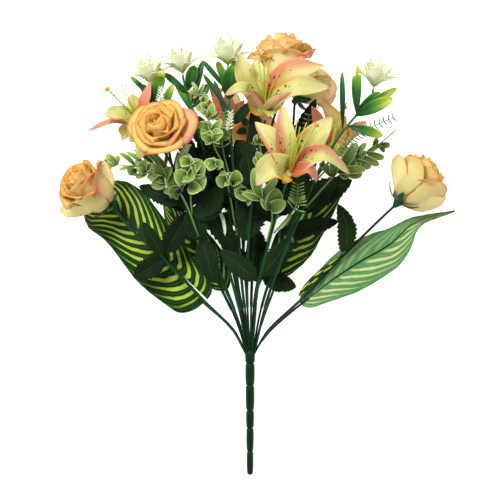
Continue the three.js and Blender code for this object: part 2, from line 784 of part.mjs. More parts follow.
// Each spray: the stem it sprouts from and where, its own path, and its round leaves as
// [share of the path, tip, width, the side its face looks to].
const EUCALYPTUS = {
  1: {
    on: ["white_3", 0.55],
    via: [[224, 168, 112], [213, 143, 138], [206, 108, 146], [197, 92, 146]],
    leaves: [
      [0.45, [226, 128, 150], 17, V(0.3, 0.2, 1)],
      [0.48, [198, 132, 150], 16, V(-0.3, 0, 1)],
      [0.62, [222, 112, 152], 16, V(0.2, 0.5, 1)],
      [0.64, [194, 121, 152], 15, V(-0.2, 0.3, 1)],
      [0.78, [216, 101, 152], 12, V(0.4, 0.2, 1)],
      [0.8, [196, 108, 152], 12, V(-0.5, 0.1, 1)],
      [0.96, [203, 84, 149], 6, V(0, 0, 1)],
    ],
  },
  2: {
    on: ["lily_4", 0.72],
    via: [[160, 168, 70], [140, 167, 66], [112, 164, 64]],
    leaves: [
      [0.2, [150, 153, 78], 9, V(0.2, 0.3, 1)],
      [0.25, [149, 178, 74], 10, V(0, -0.3, 1)],
      [0.42, [137, 152, 72], 9, V(0.3, 0.3, 1)],
      [0.46, [138, 180, 68], 9, V(0, -0.4, 1)],
      [0.64, [126, 154, 70], 9, V(0.3, 0.3, 1)],
      [0.68, [127, 177, 66], 9, V(0, -0.4, 1)],
      [1, [103, 160, 66], 12, V(0, 0, 1)],
    ],
  },
  3: {
    on: ["rose_a", 0.62],
    via: [[182, 196, 118], [168, 188, 122], [148, 176, 124], [134, 173, 124]],
    leaves: [
      [0.3, [168, 170, 130], 18, V(-0.4, 0.3, 1)],
      [0.34, [160, 200, 130], 20, V(0, -0.4, 1)],
      [0.55, [158, 164, 136], 20, V(-0.5, 0.3, 1)],
      [0.6, [146, 188, 130], 17, V(-0.2, -0.4, 1)],
      [0.82, [146, 160, 134], 16, V(-0.5, 0.3, 1)],
      [0.98, [129, 178, 128], 13, V(-0.6, 0, 1)],
    ],
  },
  4: {
    on: ["rose_a", 0.7],
    via: [[190, 186, 118], [190, 174, 132], [189, 163, 152]],
    leaves: [
      [0.4, [204, 183, 142], 22, V(0.2, -0.3, 1)],
      [0.55, [176, 170, 150], 20, V(-0.3, -0.1, 1)],
      [0.6, [184, 152, 146], 22, V(-0.2, 0.3, 1)],
      [0.62, [202, 160, 150], 20, V(0.4, 0.2, 1)],
      [0.8, [192, 186, 156], 19, V(0.1, -0.5, 1)],
      [0.98, [180, 158, 158], 12, V(-0.3, 0.2, 1)],
    ],
  },
  5: {
    on: ["lily_1", 0.66],
    via: [[244, 192, 118], [232, 184, 134], [222, 172, 144], [214, 163, 148]],
    leaves: [
      [0.2, [253, 197, 134], 19, V(0.2, -0.2, 1)],
      [0.3, [234, 200, 136], 19, V(0, -0.3, 1)],
      [0.5, [238, 165, 150], 18, V(0.3, 0.3, 1)],
      [0.6, [214, 184, 148], 16, V(-0.3, -0.3, 1)],
      [0.9, [225, 156, 156], 12, V(0.3, 0.3, 1)],
      [0.95, [204, 162, 154], 12, V(-0.3, 0, 1)],
    ],
  },
  6: {
    on: ["lily_2", 0.62],
    via: [[272, 212, 124], [260, 196, 134], [262, 160, 146], [259, 140, 148]],
    leaves: [
      [0.3, [276, 188, 142], 20, V(0.2, 0, 1)],
      [0.45, [250, 168, 146], 15, V(-0.3, 0, 1)],
      [0.7, [272, 150, 152], 14, V(0.3, 0, 1)],
      [0.72, [249, 157, 150], 14, V(-0.3, 0, 1)],
      [0.97, [252, 132, 152], 11, V(-0.3, 0, 1)],
      [0.97, [267, 131, 154], 10, V(0.3, 0, 1)],
    ],
  },
  7: {
    on: ["white_4", 0.64],
    via: [[336, 174, 110], [352, 160, 112], [374, 148, 110], [396, 130, 106]],
    leaves: [
      [0.25, [346, 150, 116], 13, V(0, 0.3, 1)],
      [0.3, [360, 178, 112], 17, V(0, -0.4, 1)],
      [0.42, [357, 142, 114], 12, V(0, 0.3, 1)],
      [0.46, [376, 172, 110], 16, V(0.3, -0.3, 1)],
      [0.6, [369, 136, 110], 10, V(0, 0.3, 1)],
      [0.62, [390, 163, 107], 15, V(0.3, -0.3, 1)],
      [0.78, [397, 148, 106], 12, V(0.3, 0, 1)],
    ],
  },
};

function eucalyptus(key) {
  const { on, via, leaves } = EUCALYPTUS[key];
  const path = via.map((place) => at(...place));
  const start = sproutFrom(on[0], on[1], path[0]);
  const curve = new THREE.CatmullRomCurve3([start, ...path], false, "centripetal");
  const count = 3;
  const points = Array.from({ length: count + 1 }, (_, k) => curve.getPoint(k / count));
  const solids = [stalk(points, 1.1, 0.8, 4)];
  for (const [t, tip, width, face] of leaves) {
    const from = curve.getPoint(t);
    solids.push(roundLeaf(from, at(...tip), face, width));
  }
  return fuse(solids);
}

// Fern fronds: the stem they sprout from and where, path, pairs of leaflets and their reach.
const FERNS = {
  1: {
    on: ["white_4", 0.72],
    via: [[337, 158, 116], [350, 141, 119], [368, 129, 119], [395, 117, 112]],
    pairs: 9,
    reach: 11,
  },
  2: {
    on: ["lily_2", 0.66],
    via: [[296, 206, 130], [297, 198, 134], [298, 184, 138]],
    pairs: 5,
    reach: 13,
  },
  3: {
    on: ["white_3", 0.7],
    via: [[222, 142, 112], [225, 130, 116], [224, 112, 118]],
    pairs: 6,
    reach: 10,
  },
  4: {
    on: ["lily_3", 0.8],
    via: [[306, 160, 86], [307, 140, 84], [309, 114, 80]],
    pairs: 6,
    reach: 11,
  },
};

// A frond in one piece: a flat rib along the path, with a pointed leaflet on both edges at every
// other step, shorter towards the tip.
function fern(key) {
  const { on, via, pairs, reach } = FERNS[key];
  const path = via.map((place) => at(...place));
  const start = sproutFrom(on[0], on[1], path[0]);
  const curve = new THREE.CatmullRomCurve3([start, ...path], false, "centripetal");
  const places = [];
  const normals = [];
  const faces = [];
  const right = [];
  const left = [];
  const put = (p, normal) => {
    places.push(p);
    normals.push(normal);
    return places.length - 1;
  };
  const last = 2 * pairs;
  for (let i = 0; i <= last; i++) {
    const t = i ? lerp(0.3, 0.98, (i - 1) / (last - 1)) : 0;
    const p = curve.getPoint(t);
    const along = curve.getTangent(t);
    const side = along.clone().cross(V(0, 0, 1)).normalize();
    const normal = side.clone().cross(along);
    const r = put(p.clone().addScaledVector(side, 0.9), normal);
    const l = put(p.clone().addScaledVector(side, -0.9), normal);
    if (i) {
      const [r0, l0] = [right[right.length - 1], left[left.length - 1]];
      faces.push([l0, r0, r], [l0, r, l]);
      if (i % 2 === 0) {
        const length = reach * (1 - 0.5 * t * t);
        const ahead = p.clone().addScaledVector(along, length * 0.4);
        const tipRight = put(ahead.clone().addScaledVector(side, length), normal);
        const tipLeft = put(ahead.clone().addScaledVector(side, -length), normal);
        faces.push([r0, tipRight, r], [l, tipLeft, l0]);
        right.push(tipRight);
        left.push(tipLeft);
      }
    }
    right.push(r);
    left.push(l);
  }
  return thicken(places, normals, faces, [...right, ...left.reverse()], LEAF);
}

// Large striped leaves: places of the midrib, half-widths in steps at even shares of it, and how
// far the lobes reach back beside the stem.
const STRIPED = {
  1: {
    rib: [[170, 265, 31], [142, 247, 33], [110, 225, 26], [79, 205, 0.3]],
    half: [16, 35, 40, 41, 41, 36, 27, 15, 1],
    lobes: 0.46,
  },
  2: {
    rib: [[222, 283, 19], [204, 258, 22], [182, 228, 20], [163, 198, 10]],
    half: [5, 12, 17, 20, 20, 18, 15, 9, 1],
    lobes: 0.08,
  },
  3: {
    rib: [[281, 271, 30], [292, 248, 34], [303, 231, 35], [327, 198, 32], [352, 168, 20]],
    half: [4, 11, 17, 20, 20, 18, 15, 9, 1],
    lobes: 0.06,
  },
  4: {
    rib: [[309, 298, 32], [332, 280, 36], [356, 264, 39], [390, 244, 39], [414, 223, 35], [455, 211, 30]],
    half: [6, 14, 18, 21, 21.5, 17, 8, 3.5, 0.7],
    lobes: 0.06,
  },
};

// Value of a list whose entries stand at even steps of a share.
function along(list, share) {
  const place = share * (list.length - 1);
  const k = Math.min(list.length - 2, Math.floor(place));
  return lerp(list[k], list[k + 1], place - k);
}

function stripedLeaf(key) {
  const { rib, half, lobes } = STRIPED[key];
  const curve = new THREE.CatmullRomCurve3(rib.map((place) => at(...place)), false, "centripetal");
  const length = curve.getLength();
  const back = curve.getTangent(0).negate();
  const surface = (u, s) => {
    const v = Math.pow(s, 1.2);
    const tangent = curve.getTangent(v);
    const side = tangent.clone().cross(V(0, 0, 1)).normalize();
    const normal = side.clone().cross(tangent);
    const wide = STEP * along(half, s);
    const ripple = 0.06 * wide * u * u * Math.sin(4 * Math.PI * v + (u > 0 ? 0 : 1));
    const droop = wide * (0.12 * Math.abs(u) - 0.2 * u * u) + ripple;
    const reach = lobes * length * Math.pow(1 - v, 3.5) * Math.pow(Math.abs(u), 1.3);
    return curve
      .getPoint(v)
      .addScaledVector(side, wide * u)
      .addScaledVector(normal, droop)
      .addScaledVector(back, reach);
  };
  return fuse([blade(surface, 4, 8, LEAF), sleeve(`leaf_${key}`, 1, 3)]);
}

// Knuckled grip: five segments that swell a little between pinched rings.
function handle() {
  const grooves = [363, 385, 410, 427.5, 451].map((y) => (474.4 - y) / (474.4 - 351));
  const length = HANDLE_TOP.distanceTo(HANDLE_END);
  const radiusAt = (t) => lerp(3.4, 5.6, t);
  const stops = [0, ...grooves.reverse(), 1];
  const profile = [[0, 0], [2.6, 0], [3.4, 1.2]];
  for (let k = 0; k + 1 < stops.length; k++) {
    const [from, to] = [stops[k], stops[k + 1]];
    const middle = (from + to) / 2;
    profile.push([radiusAt(middle) + 0.35, middle * length]);
    if (to < 1) {
      profile.push([radiusAt(to) + 0.05, to * length - 2]);
      profile.push([radiusAt(to) - 0.9, to * length]);
      profile.push([radiusAt(to) + 0.05, to * length + 2]);
    }
  }
  profile.push([5.4, length - 1], [4.4, length + 2], [0, length + 2]);
  const grip = stand(turned(profile, 8), HANDLE_END, HANDLE_TOP.clone().sub(HANDLE_END));
  return fuse([grip, ...Object.keys(stems).map(stub)]);
}

const bouquet = new THREE.Group();
bouquet.name = "mixed_flower_bouquet";

function add(name, solid, color, roughness = 0.6) {
  const mesh = onSurface(solid).getMesh();
  const geometry = new THREE.BufferGeometry();
  geometry.setAttribute("position", new THREE.Float32BufferAttribute(mesh.vertProperties, 3));
  geometry.setIndex(new THREE.BufferAttribute(mesh.triVerts, 1));
  geometry.computeVertexNormals();
  const material = new THREE.MeshStandardMaterial({ color, roughness, metalness: 0 });
  const piece = new THREE.Mesh(geometry, material);
  piece.name = name;
  bouquet.add(piece);
}

add("handle", handle(), 0x1e4b2d, 0.45);
for (const key of Object.keys(ROSES)) {
  const [bloom, stem] = roseParts(key);
  add(`rose_${key}_bloom`, bloom, 0xebbe6e, 0.75);
  add(`rose_${key}_stem`, stem, 0x1e3219, 0.6);
}
for (const key of Object.keys(LILIES)) {
  const [bloom, threads, stem] = lilyParts(key);
  add(`lily_${key}_petals`, bloom, 0xecdc98, 0.7);
  add(`lily_${key}_stamens`, threads, 0xc8d23c, 0.5);
  add(`lily_${key}_stem`, stem, 0x1e5a32, 0.5);
}
for (const key of Object.keys(WHITES)) {
  const [bloom, sprig] = whiteParts(key);
  add(`white_${key}_bloom`, bloom, 0xeef0d2, 0.7);
  add(`white_${key}_sprig`, sprig, 0x37882a, 0.4);
}
for (const key of Object.keys(EUCALYPTUS)) {
  add(`eucalyptus_${key}`, eucalyptus(key), 0x94b464, 0.55);
}
for (const key of Object.keys(FERNS)) {
  add(`fern_${key}`, fern(key), 0x8cab64, 0.6);
}
for (const key of Object.keys(STRIPED)) {
  add(`striped_leaf_${key}`, stripedLeaf(key), 0x2b6b34, 0.5);
}

export default bouquet;
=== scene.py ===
# %% [markdown]
# # An artificial mixed bouquet
# The object is a flower bush of cloth and plastic: roses, lilies, small white flowers, eucalyptus,
# fern and striped leaves on thin stems that are moulded into one knuckled handle. It lies on its
# back on a pale floor, and the camera looks straight down on it.
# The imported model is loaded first. It is the frame that every piece of this lesson is built on.

# %% The frame
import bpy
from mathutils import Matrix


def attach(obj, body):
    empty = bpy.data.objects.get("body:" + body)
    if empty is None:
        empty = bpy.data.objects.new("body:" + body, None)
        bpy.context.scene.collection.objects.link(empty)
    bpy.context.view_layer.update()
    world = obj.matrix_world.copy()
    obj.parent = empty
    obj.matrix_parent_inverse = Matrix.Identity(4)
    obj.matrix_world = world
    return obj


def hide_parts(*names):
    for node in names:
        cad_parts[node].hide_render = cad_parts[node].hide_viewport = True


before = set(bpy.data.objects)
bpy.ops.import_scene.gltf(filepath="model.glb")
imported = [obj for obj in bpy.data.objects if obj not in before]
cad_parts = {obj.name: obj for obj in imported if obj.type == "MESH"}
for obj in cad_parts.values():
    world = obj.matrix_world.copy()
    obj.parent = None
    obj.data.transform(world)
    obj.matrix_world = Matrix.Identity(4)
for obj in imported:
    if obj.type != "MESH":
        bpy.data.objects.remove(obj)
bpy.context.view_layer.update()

import math
import random

import bmesh
import bpy
from mathutils import Matrix, Vector

random.seed(7)

# %% [markdown]
# ## Places
# Flowers and leaves are placed by steps of the view from above, a square of 500 steps, and by
# their height over the floor in millimetres. A place that is nearer to the eye covers less of the
# floor for each step. Shapes are worked out in millimetres and scaled to metres at the end, which
# keeps the numbers easy to read.

# %% From the view to millimetres
MM = 0.001
STEP = 1.12
REFERENCE_HEIGHT = 100
MIDDLE = 250
EYE = Vector((-11.8, 13.2, 1673))
UP = Vector((0, 0, 1))


def at(px, py, z):
    size = STEP * (EYE.z - z) / (EYE.z - REFERENCE_HEIGHT)
    return Vector((EYE.x + (px - MIDDLE) * size, EYE.y + (MIDDLE - py) * size, z))


def lerp(a, b, t):
    return a + (b - a) * t


def clamp(x):
    return min(1.0, max(0.0, x))


def ease(low, high, x):
    t = clamp((x - low) / (high - low))
    return t * t * (3 - 2 * t)


def along(values, share):
    """Value of a list whose entries stand at even steps of a share."""
    place = clamp(share) * (len(values) - 1)
    k = min(len(values) - 2, int(place))
    return lerp(values[k], values[k + 1], place - k)


def spoke(turn):
    """Direction at an angle round the upright axis."""
    return Vector((math.cos(turn), math.sin(turn), 0))


# %% [markdown]
# ## Tables
# Petals, leaves and stems are listed in tables. A name and a colon open a group, semicolons part
# its rows, and numbers joined by commas are one place or one direction.

# %% Reading a table
def read_word(word):
    """A number, a place such as 247,354,31, or the word itself."""
    if "," in word:
        return tuple(read_word(part) for part in word.split(","))
    try:
        return float(word) if "." in word else int(word)
    except ValueError:
        return word


def table(text):
    groups = {}
    for part in text.split(";"):
        name, colon, row = part.rpartition(":")
        if colon:
            rows = groups[name.strip()] = []
        rows.append([read_word(word) for word in row.split()])
    return groups


# %% [markdown]
# ## Smooth lines
# A wired stem bends evenly, without kinks. A Catmull-Rom line passes through every given point;
# its centripetal form takes the distances between the points into account, so it never loops
# where two of them are close.

# %% A smooth line through points
def smooth_line(points):
    points = [Vector(p) for p in points]
    last = len(points) - 1

    def place(t):
        k = min(int(clamp(t) * last), last - 1)
        w = clamp(t) * last - k
        b, c = points[k], points[k + 1]
        a = points[k - 1] if k else b * 2 - c
        d = points[k + 2] if k + 2 <= last else c * 2 - b
        ab, bc, cd = (math.sqrt(max((q - p).length, 1e-6)) for p, q in ((a, b), (b, c), (c, d)))
        leave = ((b - a) / ab - (c - a) / (ab + bc) + (c - b) / bc) * bc
        reach = ((c - b) / bc - (d - b) / (bc + cd) + (d - c) / cd) * bc
        cubic = b * 2 - c * 2 + leave + reach
        square = c * 3 - b * 3 - leave * 2 - reach
        return b + leave * w + square * w * w + cubic * w * w * w

    return place


def heading(line, t, step=0.01):
    return (line(min(1, t + step)) - line(max(0, t - step))).normalized()


# %% [markdown]
# ## Sheets and tubes
# Petals and leaves are thin sheets. Each starts as a flat grid, whose corners are then moved to
# the place that a formula gives for their share across (u, from -1 to 1) and along (v, from 0 to
# 1). The grid brings its own UV map, which the materials use for veins and coloured edges.
# A stem is the same grid, rolled up round its line, merged along the seam and closed at the ends.

# %% A mesh with its marks
MARKS = ("blush", "margin", "tone", "stripe")


def new_mesh():
    mesh = bmesh.new()
    mesh.loops.layers.uv.new("UVMap")
    for name in MARKS:
        mesh.verts.layers.float.new(name)
    return mesh


def dress(verts, finish):
    """Gives the faces at these corners their material and smooth shading."""
    for face in {face for vert in verts for face in vert.link_faces}:
        face.material_index = finish
        face.smooth = True


def grid(mesh, columns, rows, finish):
    made = bmesh.ops.create_grid(
        mesh, x_segments=columns, y_segments=rows, size=1, calc_uvs=True
    )["verts"]
    dress(made, finish)
    return made


def sheet(mesh, place, columns, rows, finish=0, marks=None, tone=None):
    layers = {name: mesh.verts.layers.float[name] for name in MARKS}
    tone = random.random() if tone is None else tone
    for vert in grid(mesh, columns, rows, finish):
        u, v = vert.co.x, (vert.co.y + 1) / 2
        vert[layers["tone"]] = tone
        for name, value in (marks(u, v) if marks else {}).items():
            vert[layers[name]] = value
        vert.co = place(u, v)


def tube(mesh, points, radii, sides=8, finish=0):
    tone = random.random()
    rows = len(points) - 1
    rings = []
    across = None
    for k, point in enumerate(points):
        way = (points[min(rows, k + 1)] - points[max(0, k - 1)]).normalized()
        if across is None:
            across = UP if abs(way.z) < 0.9 else Vector((1, 0, 0))
        across = (across - way * across.dot(way)).normalized()
        rings.append((point, across, way.cross(across), radii[k]))
    tones = mesh.verts.layers.float["tone"]
    shares = mesh.verts.layers.float["margin"]
    made = grid(mesh, sides, rows, finish)
    for vert in made:
        turn = math.pi * vert.co.x
        row = round((vert.co.y + 1) / 2 * rows)
        point, side, third, radius = rings[row]
        vert[tones] = tone
        vert[shares] = row / rows
        vert.co = point + (side * math.cos(turn) + third * math.sin(turn)) * radius
    bmesh.ops.remove_doubles(mesh, verts=made, dist=1e-4)
    left = [vert for vert in made if vert.is_valid]
    rim = {edge for vert in left for edge in vert.link_edges if edge.is_boundary}
    caps = bmesh.ops.holes_fill(mesh, edges=list(rim), sides=sides)["faces"]
    for face in caps:
        face.material_index = finish
    body = {face for vert in left for face in vert.link_faces}
    bmesh.ops.recalc_face_normals(mesh, faces=list(body))


def taper(mesh, line, rows, thick, thin, sides, finish=0):
    """A tube along a line that gets thinner evenly."""
    shares = [k / rows for k in range(rows + 1)]
    tube(mesh, [line(t) for t in shares], [lerp(thick, thin, t) for t in shares], sides, finish)


# %% A finished piece
FLOOR_GAP = 0.02
PETAL_THICKNESS = 0.45
LEAF_THICKNESS = 0.5
STIFF_THICKNESS = 0.6
FERN_THICKNESS = 0.35


def add_object(name, data):
    made = bpy.data.objects.new(name, data)
    bpy.context.scene.collection.objects.link(made)
    return made


def piece_of(mesh, name, materials, nodes=(), thick=0.0, back=False):
    """Lifts the mesh off the floor, turns it into metres and makes a piece on the frame."""
    for vert in mesh.verts:
        vert.co.z = max(vert.co.z, thick / 2 + FLOOR_GAP)
    bmesh.ops.scale(mesh, vec=(MM, MM, MM), verts=mesh.verts)
    data = bpy.data.meshes.new(name)
    mesh.to_mesh(data)
    mesh.free()
    piece = add_object(name, data)
    for material in materials:
        data.materials.append(material)
    if thick:
        wall = piece.modifiers.new("thickness", "SOLIDIFY")
        wall.thickness = thick * MM
        wall.offset = 0
        wall.material_offset = 1 if back else 0
    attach(piece, "root")
    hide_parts(*nodes)
    print(name, len(data.polygons), "faces")
    return piece


# %% [markdown]
# ## Blades
# Most leaves share one description: a base and a tip, the side that the face looks to, a width
# and an outline, and how far the blade is bowed, cupped, folded along its midrib, rippled at its
# edges and swayed to one side.

# %% Outline and blade
def outline(a, b, least=0.02):
    top = (a / (a + b)) ** a * (b / (a + b)) ** b
    return lambda v: max(least, v**a * (1 - v) ** b / top)


def stand(origin, facing, side=Vector((1, 0, 0))):
    """Turns a local place so that local Z points along facing."""
    z = facing.normalized()
    x = (side - z * side.dot(z)).normalized()
    y = z.cross(x)
    return Matrix.Translation(origin) @ Matrix((x, y, z)).transposed().to_4x4()


def limb(base, tip, face, width, shape, bow=0, cup=0, fold=0, wave=0, waves=3, sway=0):
    way = tip - base
    length = way.length
    way.normalize()
    side = way.cross(face).normalized()
    normal = side.cross(way).normalized()

    def place(u, v):
        half = width / 2 * shape(v)
        lift = 4 * v * (1 - v) * bow * length + half * (cup * u * u + fold * abs(u))
        lift += wave * half * u * u * math.sin(2 * math.pi * waves * v + (0 if u > 0 else 1))
        shift = half * u + 4 * v * (1 - v) * sway * length
        return base + way * (length * v) + side * shift + normal * lift

    return place


# %% [markdown]
# ## Shader helpers
# A material is a small tree of nodes. These helpers place a node, wire what goes into it, and
# hand back one of its outputs, so that a material reads from top to bottom like a recipe.

# %% Nodes in one line
def tint(code):
    """Linear colour of a code such as 0xEBBE6E; a colour from a node stays as it is."""
    if not isinstance(code, int):
        return code
    parts = [(code >> shift & 255) / 255 for shift in (16, 8, 0)]
    linear = [c / 12.92 if c <= 0.04045 else ((c + 0.055) / 1.055) ** 2.4 for c in parts]
    return (*linear, 1.0)


def wire(tree, node, inputs):
    for key, value in inputs.items():
        if isinstance(value, bpy.types.NodeSocket):
            tree.links.new(value, node.inputs[key])
        else:
            node.inputs[key].default_value = value


def add_node(tree, kind, inputs=None, output=0, **settings):
    made = tree.nodes.new(kind)
    for key, value in settings.items():
        setattr(made, key, value)
    wire(tree, made, inputs or {})
    return made.outputs[output]


def calc(tree, how, a, b=0.0, c=0.0, clamped=False):
    return add_node(tree, "ShaderNodeMath", {0: a, 1: b, 2: c}, operation=how, use_clamp=clamped)


def times(tree, a, b):
    return calc(tree, "MULTIPLY", a, b)


def scaled(tree, a, factor, shift):
    return calc(tree, "MULTIPLY_ADD", a, factor, shift)


def blend(tree, share, a, b, how="MIX"):
    return add_node(tree, "ShaderNodeMix", {0: share, 6: tint(a), 7: tint(b)}, 2,
                    data_type="RGBA", blend_type=how)


def ramp(tree, value, stops):
    made = tree.nodes.new("ShaderNodeValToRGB")
    tree.links.new(value, made.inputs[0])
    while len(made.color_ramp.elements) < len(stops):
        made.color_ramp.elements.new(0.5)
    for element, (place, code) in zip(made.color_ramp.elements, stops):
        element.position = place
        element.color = tint(code)
    return made.outputs[0]


def span(tree, value, low, high):
    """0 below low and 1 above high, with soft ends."""
    return add_node(
        tree, "ShaderNodeMapRange", {0: value, 1: low, 2: high}, interpolation_type="SMOOTHSTEP"
    )


def fade(tree, value, low, high):
    """1 below low and 0 above high, with soft ends."""
    return calc(tree, "SUBTRACT", 1.0, span(tree, value, low, high))


def mark(tree, name):
    return add_node(tree, "ShaderNodeAttribute", attribute_name=name, output=2)


def grain(tree, scale, detail=2.0):
    """Even noise on the object."""
    place = add_node(tree, "ShaderNodeTexCoord", output=3)
    return add_node(tree, "ShaderNodeTexNoise", {"Vector": place, "Scale": scale, "Detail": detail})


def stretched(tree, across, along):
    """The UV map of a blade, stretched across and along."""
    uv = add_node(tree, "ShaderNodeUVMap", uv_map="UVMap")
    return add_node(tree, "ShaderNodeMapping", {"Vector": uv, "Scale": (across, along, 1.0)})


def streaks(tree, across, along):
    """Noise drawn out along a blade, as pleats and threads are."""
    return add_node(tree, "ShaderNodeTexNoise", {
        "Vector": stretched(tree, across, along), "Scale": 1.0, "Detail": 3.0})


def open_group(name, inputs, outputs):
    tree = bpy.data.node_groups.new(name, "ShaderNodeTree")
    for title, value in inputs.items():
        socket = tree.interface.new_socket(title, in_out="INPUT", socket_type="NodeSocketFloat")
        socket.default_value = value
    for title in outputs:
        tree.interface.new_socket(title, in_out="OUTPUT", socket_type="NodeSocketFloat")
    return tree, tree.nodes.new("NodeGroupInput").outputs, tree.nodes.new("NodeGroupOutput")


def use_group(tree, group, inputs=None):
    made = tree.nodes.new("ShaderNodeGroup")
    made.node_tree = group
    wire(tree, made, inputs or {})
    return made.outputs


# %% [markdown]
# ## Shared effects
# Three effects come back on almost every surface. "across" splits the UV map into the share
# along a blade and the distance from its midrib, and finds the thin line along the rim. "cloth"
# is the fine weave of the polyester with its uneven dye. "moulded" is the faint mottle of
# injection-moulded plastic.

# %% The place on a blade
across_group, entry, leave = open_group(
    "across", {"Side power": 14.0, "End power": 22.0}, ("Along", "Off midrib", "Side", "Rim"))
uv = add_node(across_group, "ShaderNodeUVMap", uv_map="UVMap")
split = add_node(across_group, "ShaderNodeSeparateXYZ", {0: uv}).node.outputs
side = scaled(across_group, split[0], 2.0, -1.0)
off = calc(across_group, "ABSOLUTE", side)
side_rim = calc(across_group, "POWER", off, entry["Side power"])
end_rim = calc(across_group, "POWER", split[1], entry["End power"])
rim = calc(across_group, "MAXIMUM", side_rim, end_rim, clamped=True)
wire(across_group, leave, {"Along": split[1], "Off midrib": off, "Side": side, "Rim": rim})


# %% Cloth
def uneven_tone(tree, noise, entry):
    return scaled(tree, calc(tree, "SUBTRACT", noise, 0.5), entry["Unevenness"], 1.0)


cloth_group, entry, leave = open_group(
    "cloth", {"Weave": 1.0, "Unevenness": 0.2}, ("Tone", "Height"))
weave = times(cloth_group, grain(cloth_group, 2200.0), entry["Weave"])
dye = grain(cloth_group, 90.0, 4.0)
wire(cloth_group, leave, {"Tone": uneven_tone(cloth_group, dye, entry), "Height": weave})

# %% Moulded plastic
moulded_group, entry, leave = open_group(
    "moulded", {"Scale": 160.0, "Unevenness": 0.25}, ("Tone", "Rough", "Height"))
cloud = grain(moulded_group, entry["Scale"], 3.0)
wire(moulded_group, leave, {
    "Tone": uneven_tone(moulded_group, cloud, entry),
    "Rough": scaled(moulded_group, cloud, 0.25, 0.3),
    "Height": grain(moulded_group, 1500.0)})


# %% The end of every material
def new_material(name):
    material = bpy.data.materials.new(name)
    material.use_nodes = True
    return material, material.node_tree


def settle(tree, colour, rough, height, bump=0.3, distance=0.0002, **constants):
    """Wires colour, roughness and relief into the material's own shader."""
    shader = next(n for n in tree.nodes if n.type == "BSDF_PRINCIPLED")
    relief = add_node(
        tree, "ShaderNodeBump", {"Strength": bump, "Distance": distance, "Height": height}
    )
    wire(tree, shader, {"Base Color": colour, "Roughness": rough, "Normal": relief})
    wire(tree, shader, {title.replace("_", " "): value for title, value in constants.items()})


def toned(tree, colour, tone):
    """Multiplies a colour by a grey value."""
    grey = add_node(tree, "ShaderNodeCombineColor", {0: tone, 1: tone, 2: tone})
    return blend(tree, 1.0, colour, grey, "MULTIPLY")


# %% [markdown]
# ## Petal cloth of the roses
# Printed polyester: a deep orange foot, an apricot blade, a creamy upper part, and the thin
# burnt-orange line that the hot cutting die leaves along the rim. Where the folds hide the foot,
# its orange is deepened by painted shade of the folds, and the palest band just below the rim is
# partly a painted highlight. Orange also creeps in from the side edges: partly the dye's edge tint,
# partly painted shade where the petals overlap. The outside of a petal is paler than its inside,
# some petals are creamier than others, and two of the outer ones have a pink blush. Light passes
# a little way into the thin cloth, which warms the folds.

# %% Rose petal, inside and outside
def rose_cloth(name, stops, pale, edge_share, rim_colour):
    material, tree = new_material(name)
    blade = use_group(tree, across_group, {"Side power": 17.0, "End power": 22.0})
    cloth = use_group(tree, cloth_group, {"Unevenness": 0.25})
    ground = ramp(tree, blade["Along"], stops)
    # Orange towards the side edges: partly the dye's edge tint, partly painted shade where the
    # petals overlap.
    edge = calc(tree, "POWER", blade["Off midrib"], 5.0)
    ground = blend(tree, times(tree, edge, edge_share), ground, 0xD27A20)
    veins = span(tree, streaks(tree, 26.0, 1.6), 0.5, 0.75)
    ground = blend(tree, times(tree, veins, 0.35), ground, pale)
    ground = blend(tree, mark(tree, "margin"), ground, pale)
    ground = blend(tree, mark(tree, "blush"), ground, 0xE2867A)
    ground = blend(tree, times(tree, blade["Rim"], 0.95), ground, rim_colour)
    tone = scaled(tree, mark(tree, "tone"), 0.14, 0.93)
    ground = toned(tree, ground, times(tree, tone, cloth["Tone"]))
    settle(tree, ground, 0.72, cloth["Height"], Specular_IOR_Level=0.12, Subsurface_Weight=0.25,
           Subsurface_Radius=(1.0, 0.95, 0.6), Subsurface_Scale=0.005)
    return material


# Inside petals: the darkest stops at the foot are the orange dye with painted shade of the folds
# added, and the palest stop at 0.84 is partly a painted highlight below the rim.
rose_inside = rose_cloth("rose_inside", [
    (0.0, 0xAC4A04), (0.35, 0xBC5E06), (0.55, 0xCA7408), (0.7, 0xDC9E34), (0.84, 0xE6C068),
    (1.0, 0xE2B254)], 0xEAD484, 0.5, 0xB64E06)
rose_outside = rose_cloth("rose_outside", [
    (0.0, 0xC4B468), (0.4, 0xD6C474), (0.75, 0xDCC46C), (1.0, 0xE0C062)], 0xEADC9A, 0.2, 0xCA7220)

# %% [markdown]
# ## Petal cloth of the lilies
# Cream cloth that turns yellow-green towards the throat, a coral band along one side, an orange
# margin and a spray of dark brown spots in the middle. The bands follow each petal's own marks.
# The underside has no spots: it is cream at the foot, with coral streaks that close up to a
# coral red further out.

# %% Lily petal, upper side and underside
def lily_spots(tree, blade):
    """Mask of round spots in the middle of a petal, none on petals with a stripe mark."""
    cells = add_node(tree, "ShaderNodeTexVoronoi", {
        "Vector": stretched(tree, 6.8, 16.0), "Scale": 1.0, "Randomness": 0.9}).node.outputs
    chosen = add_node(tree, "ShaderNodeSeparateColor", {0: cells["Color"]})
    dots = times(tree, fade(tree, cells["Distance"], 0.2, 0.26),
                 calc(tree, "GREATER_THAN", chosen, 0.18))
    middle = times(tree, span(tree, blade["Along"], 0.22, 0.32),
                   fade(tree, blade["Along"], 0.66, 0.76))
    inside = times(tree, fade(tree, blade["Off midrib"], 0.6, 0.75),
                   calc(tree, "SUBTRACT", 1.0, mark(tree, "stripe")))
    return times(tree, times(tree, dots, middle), inside)


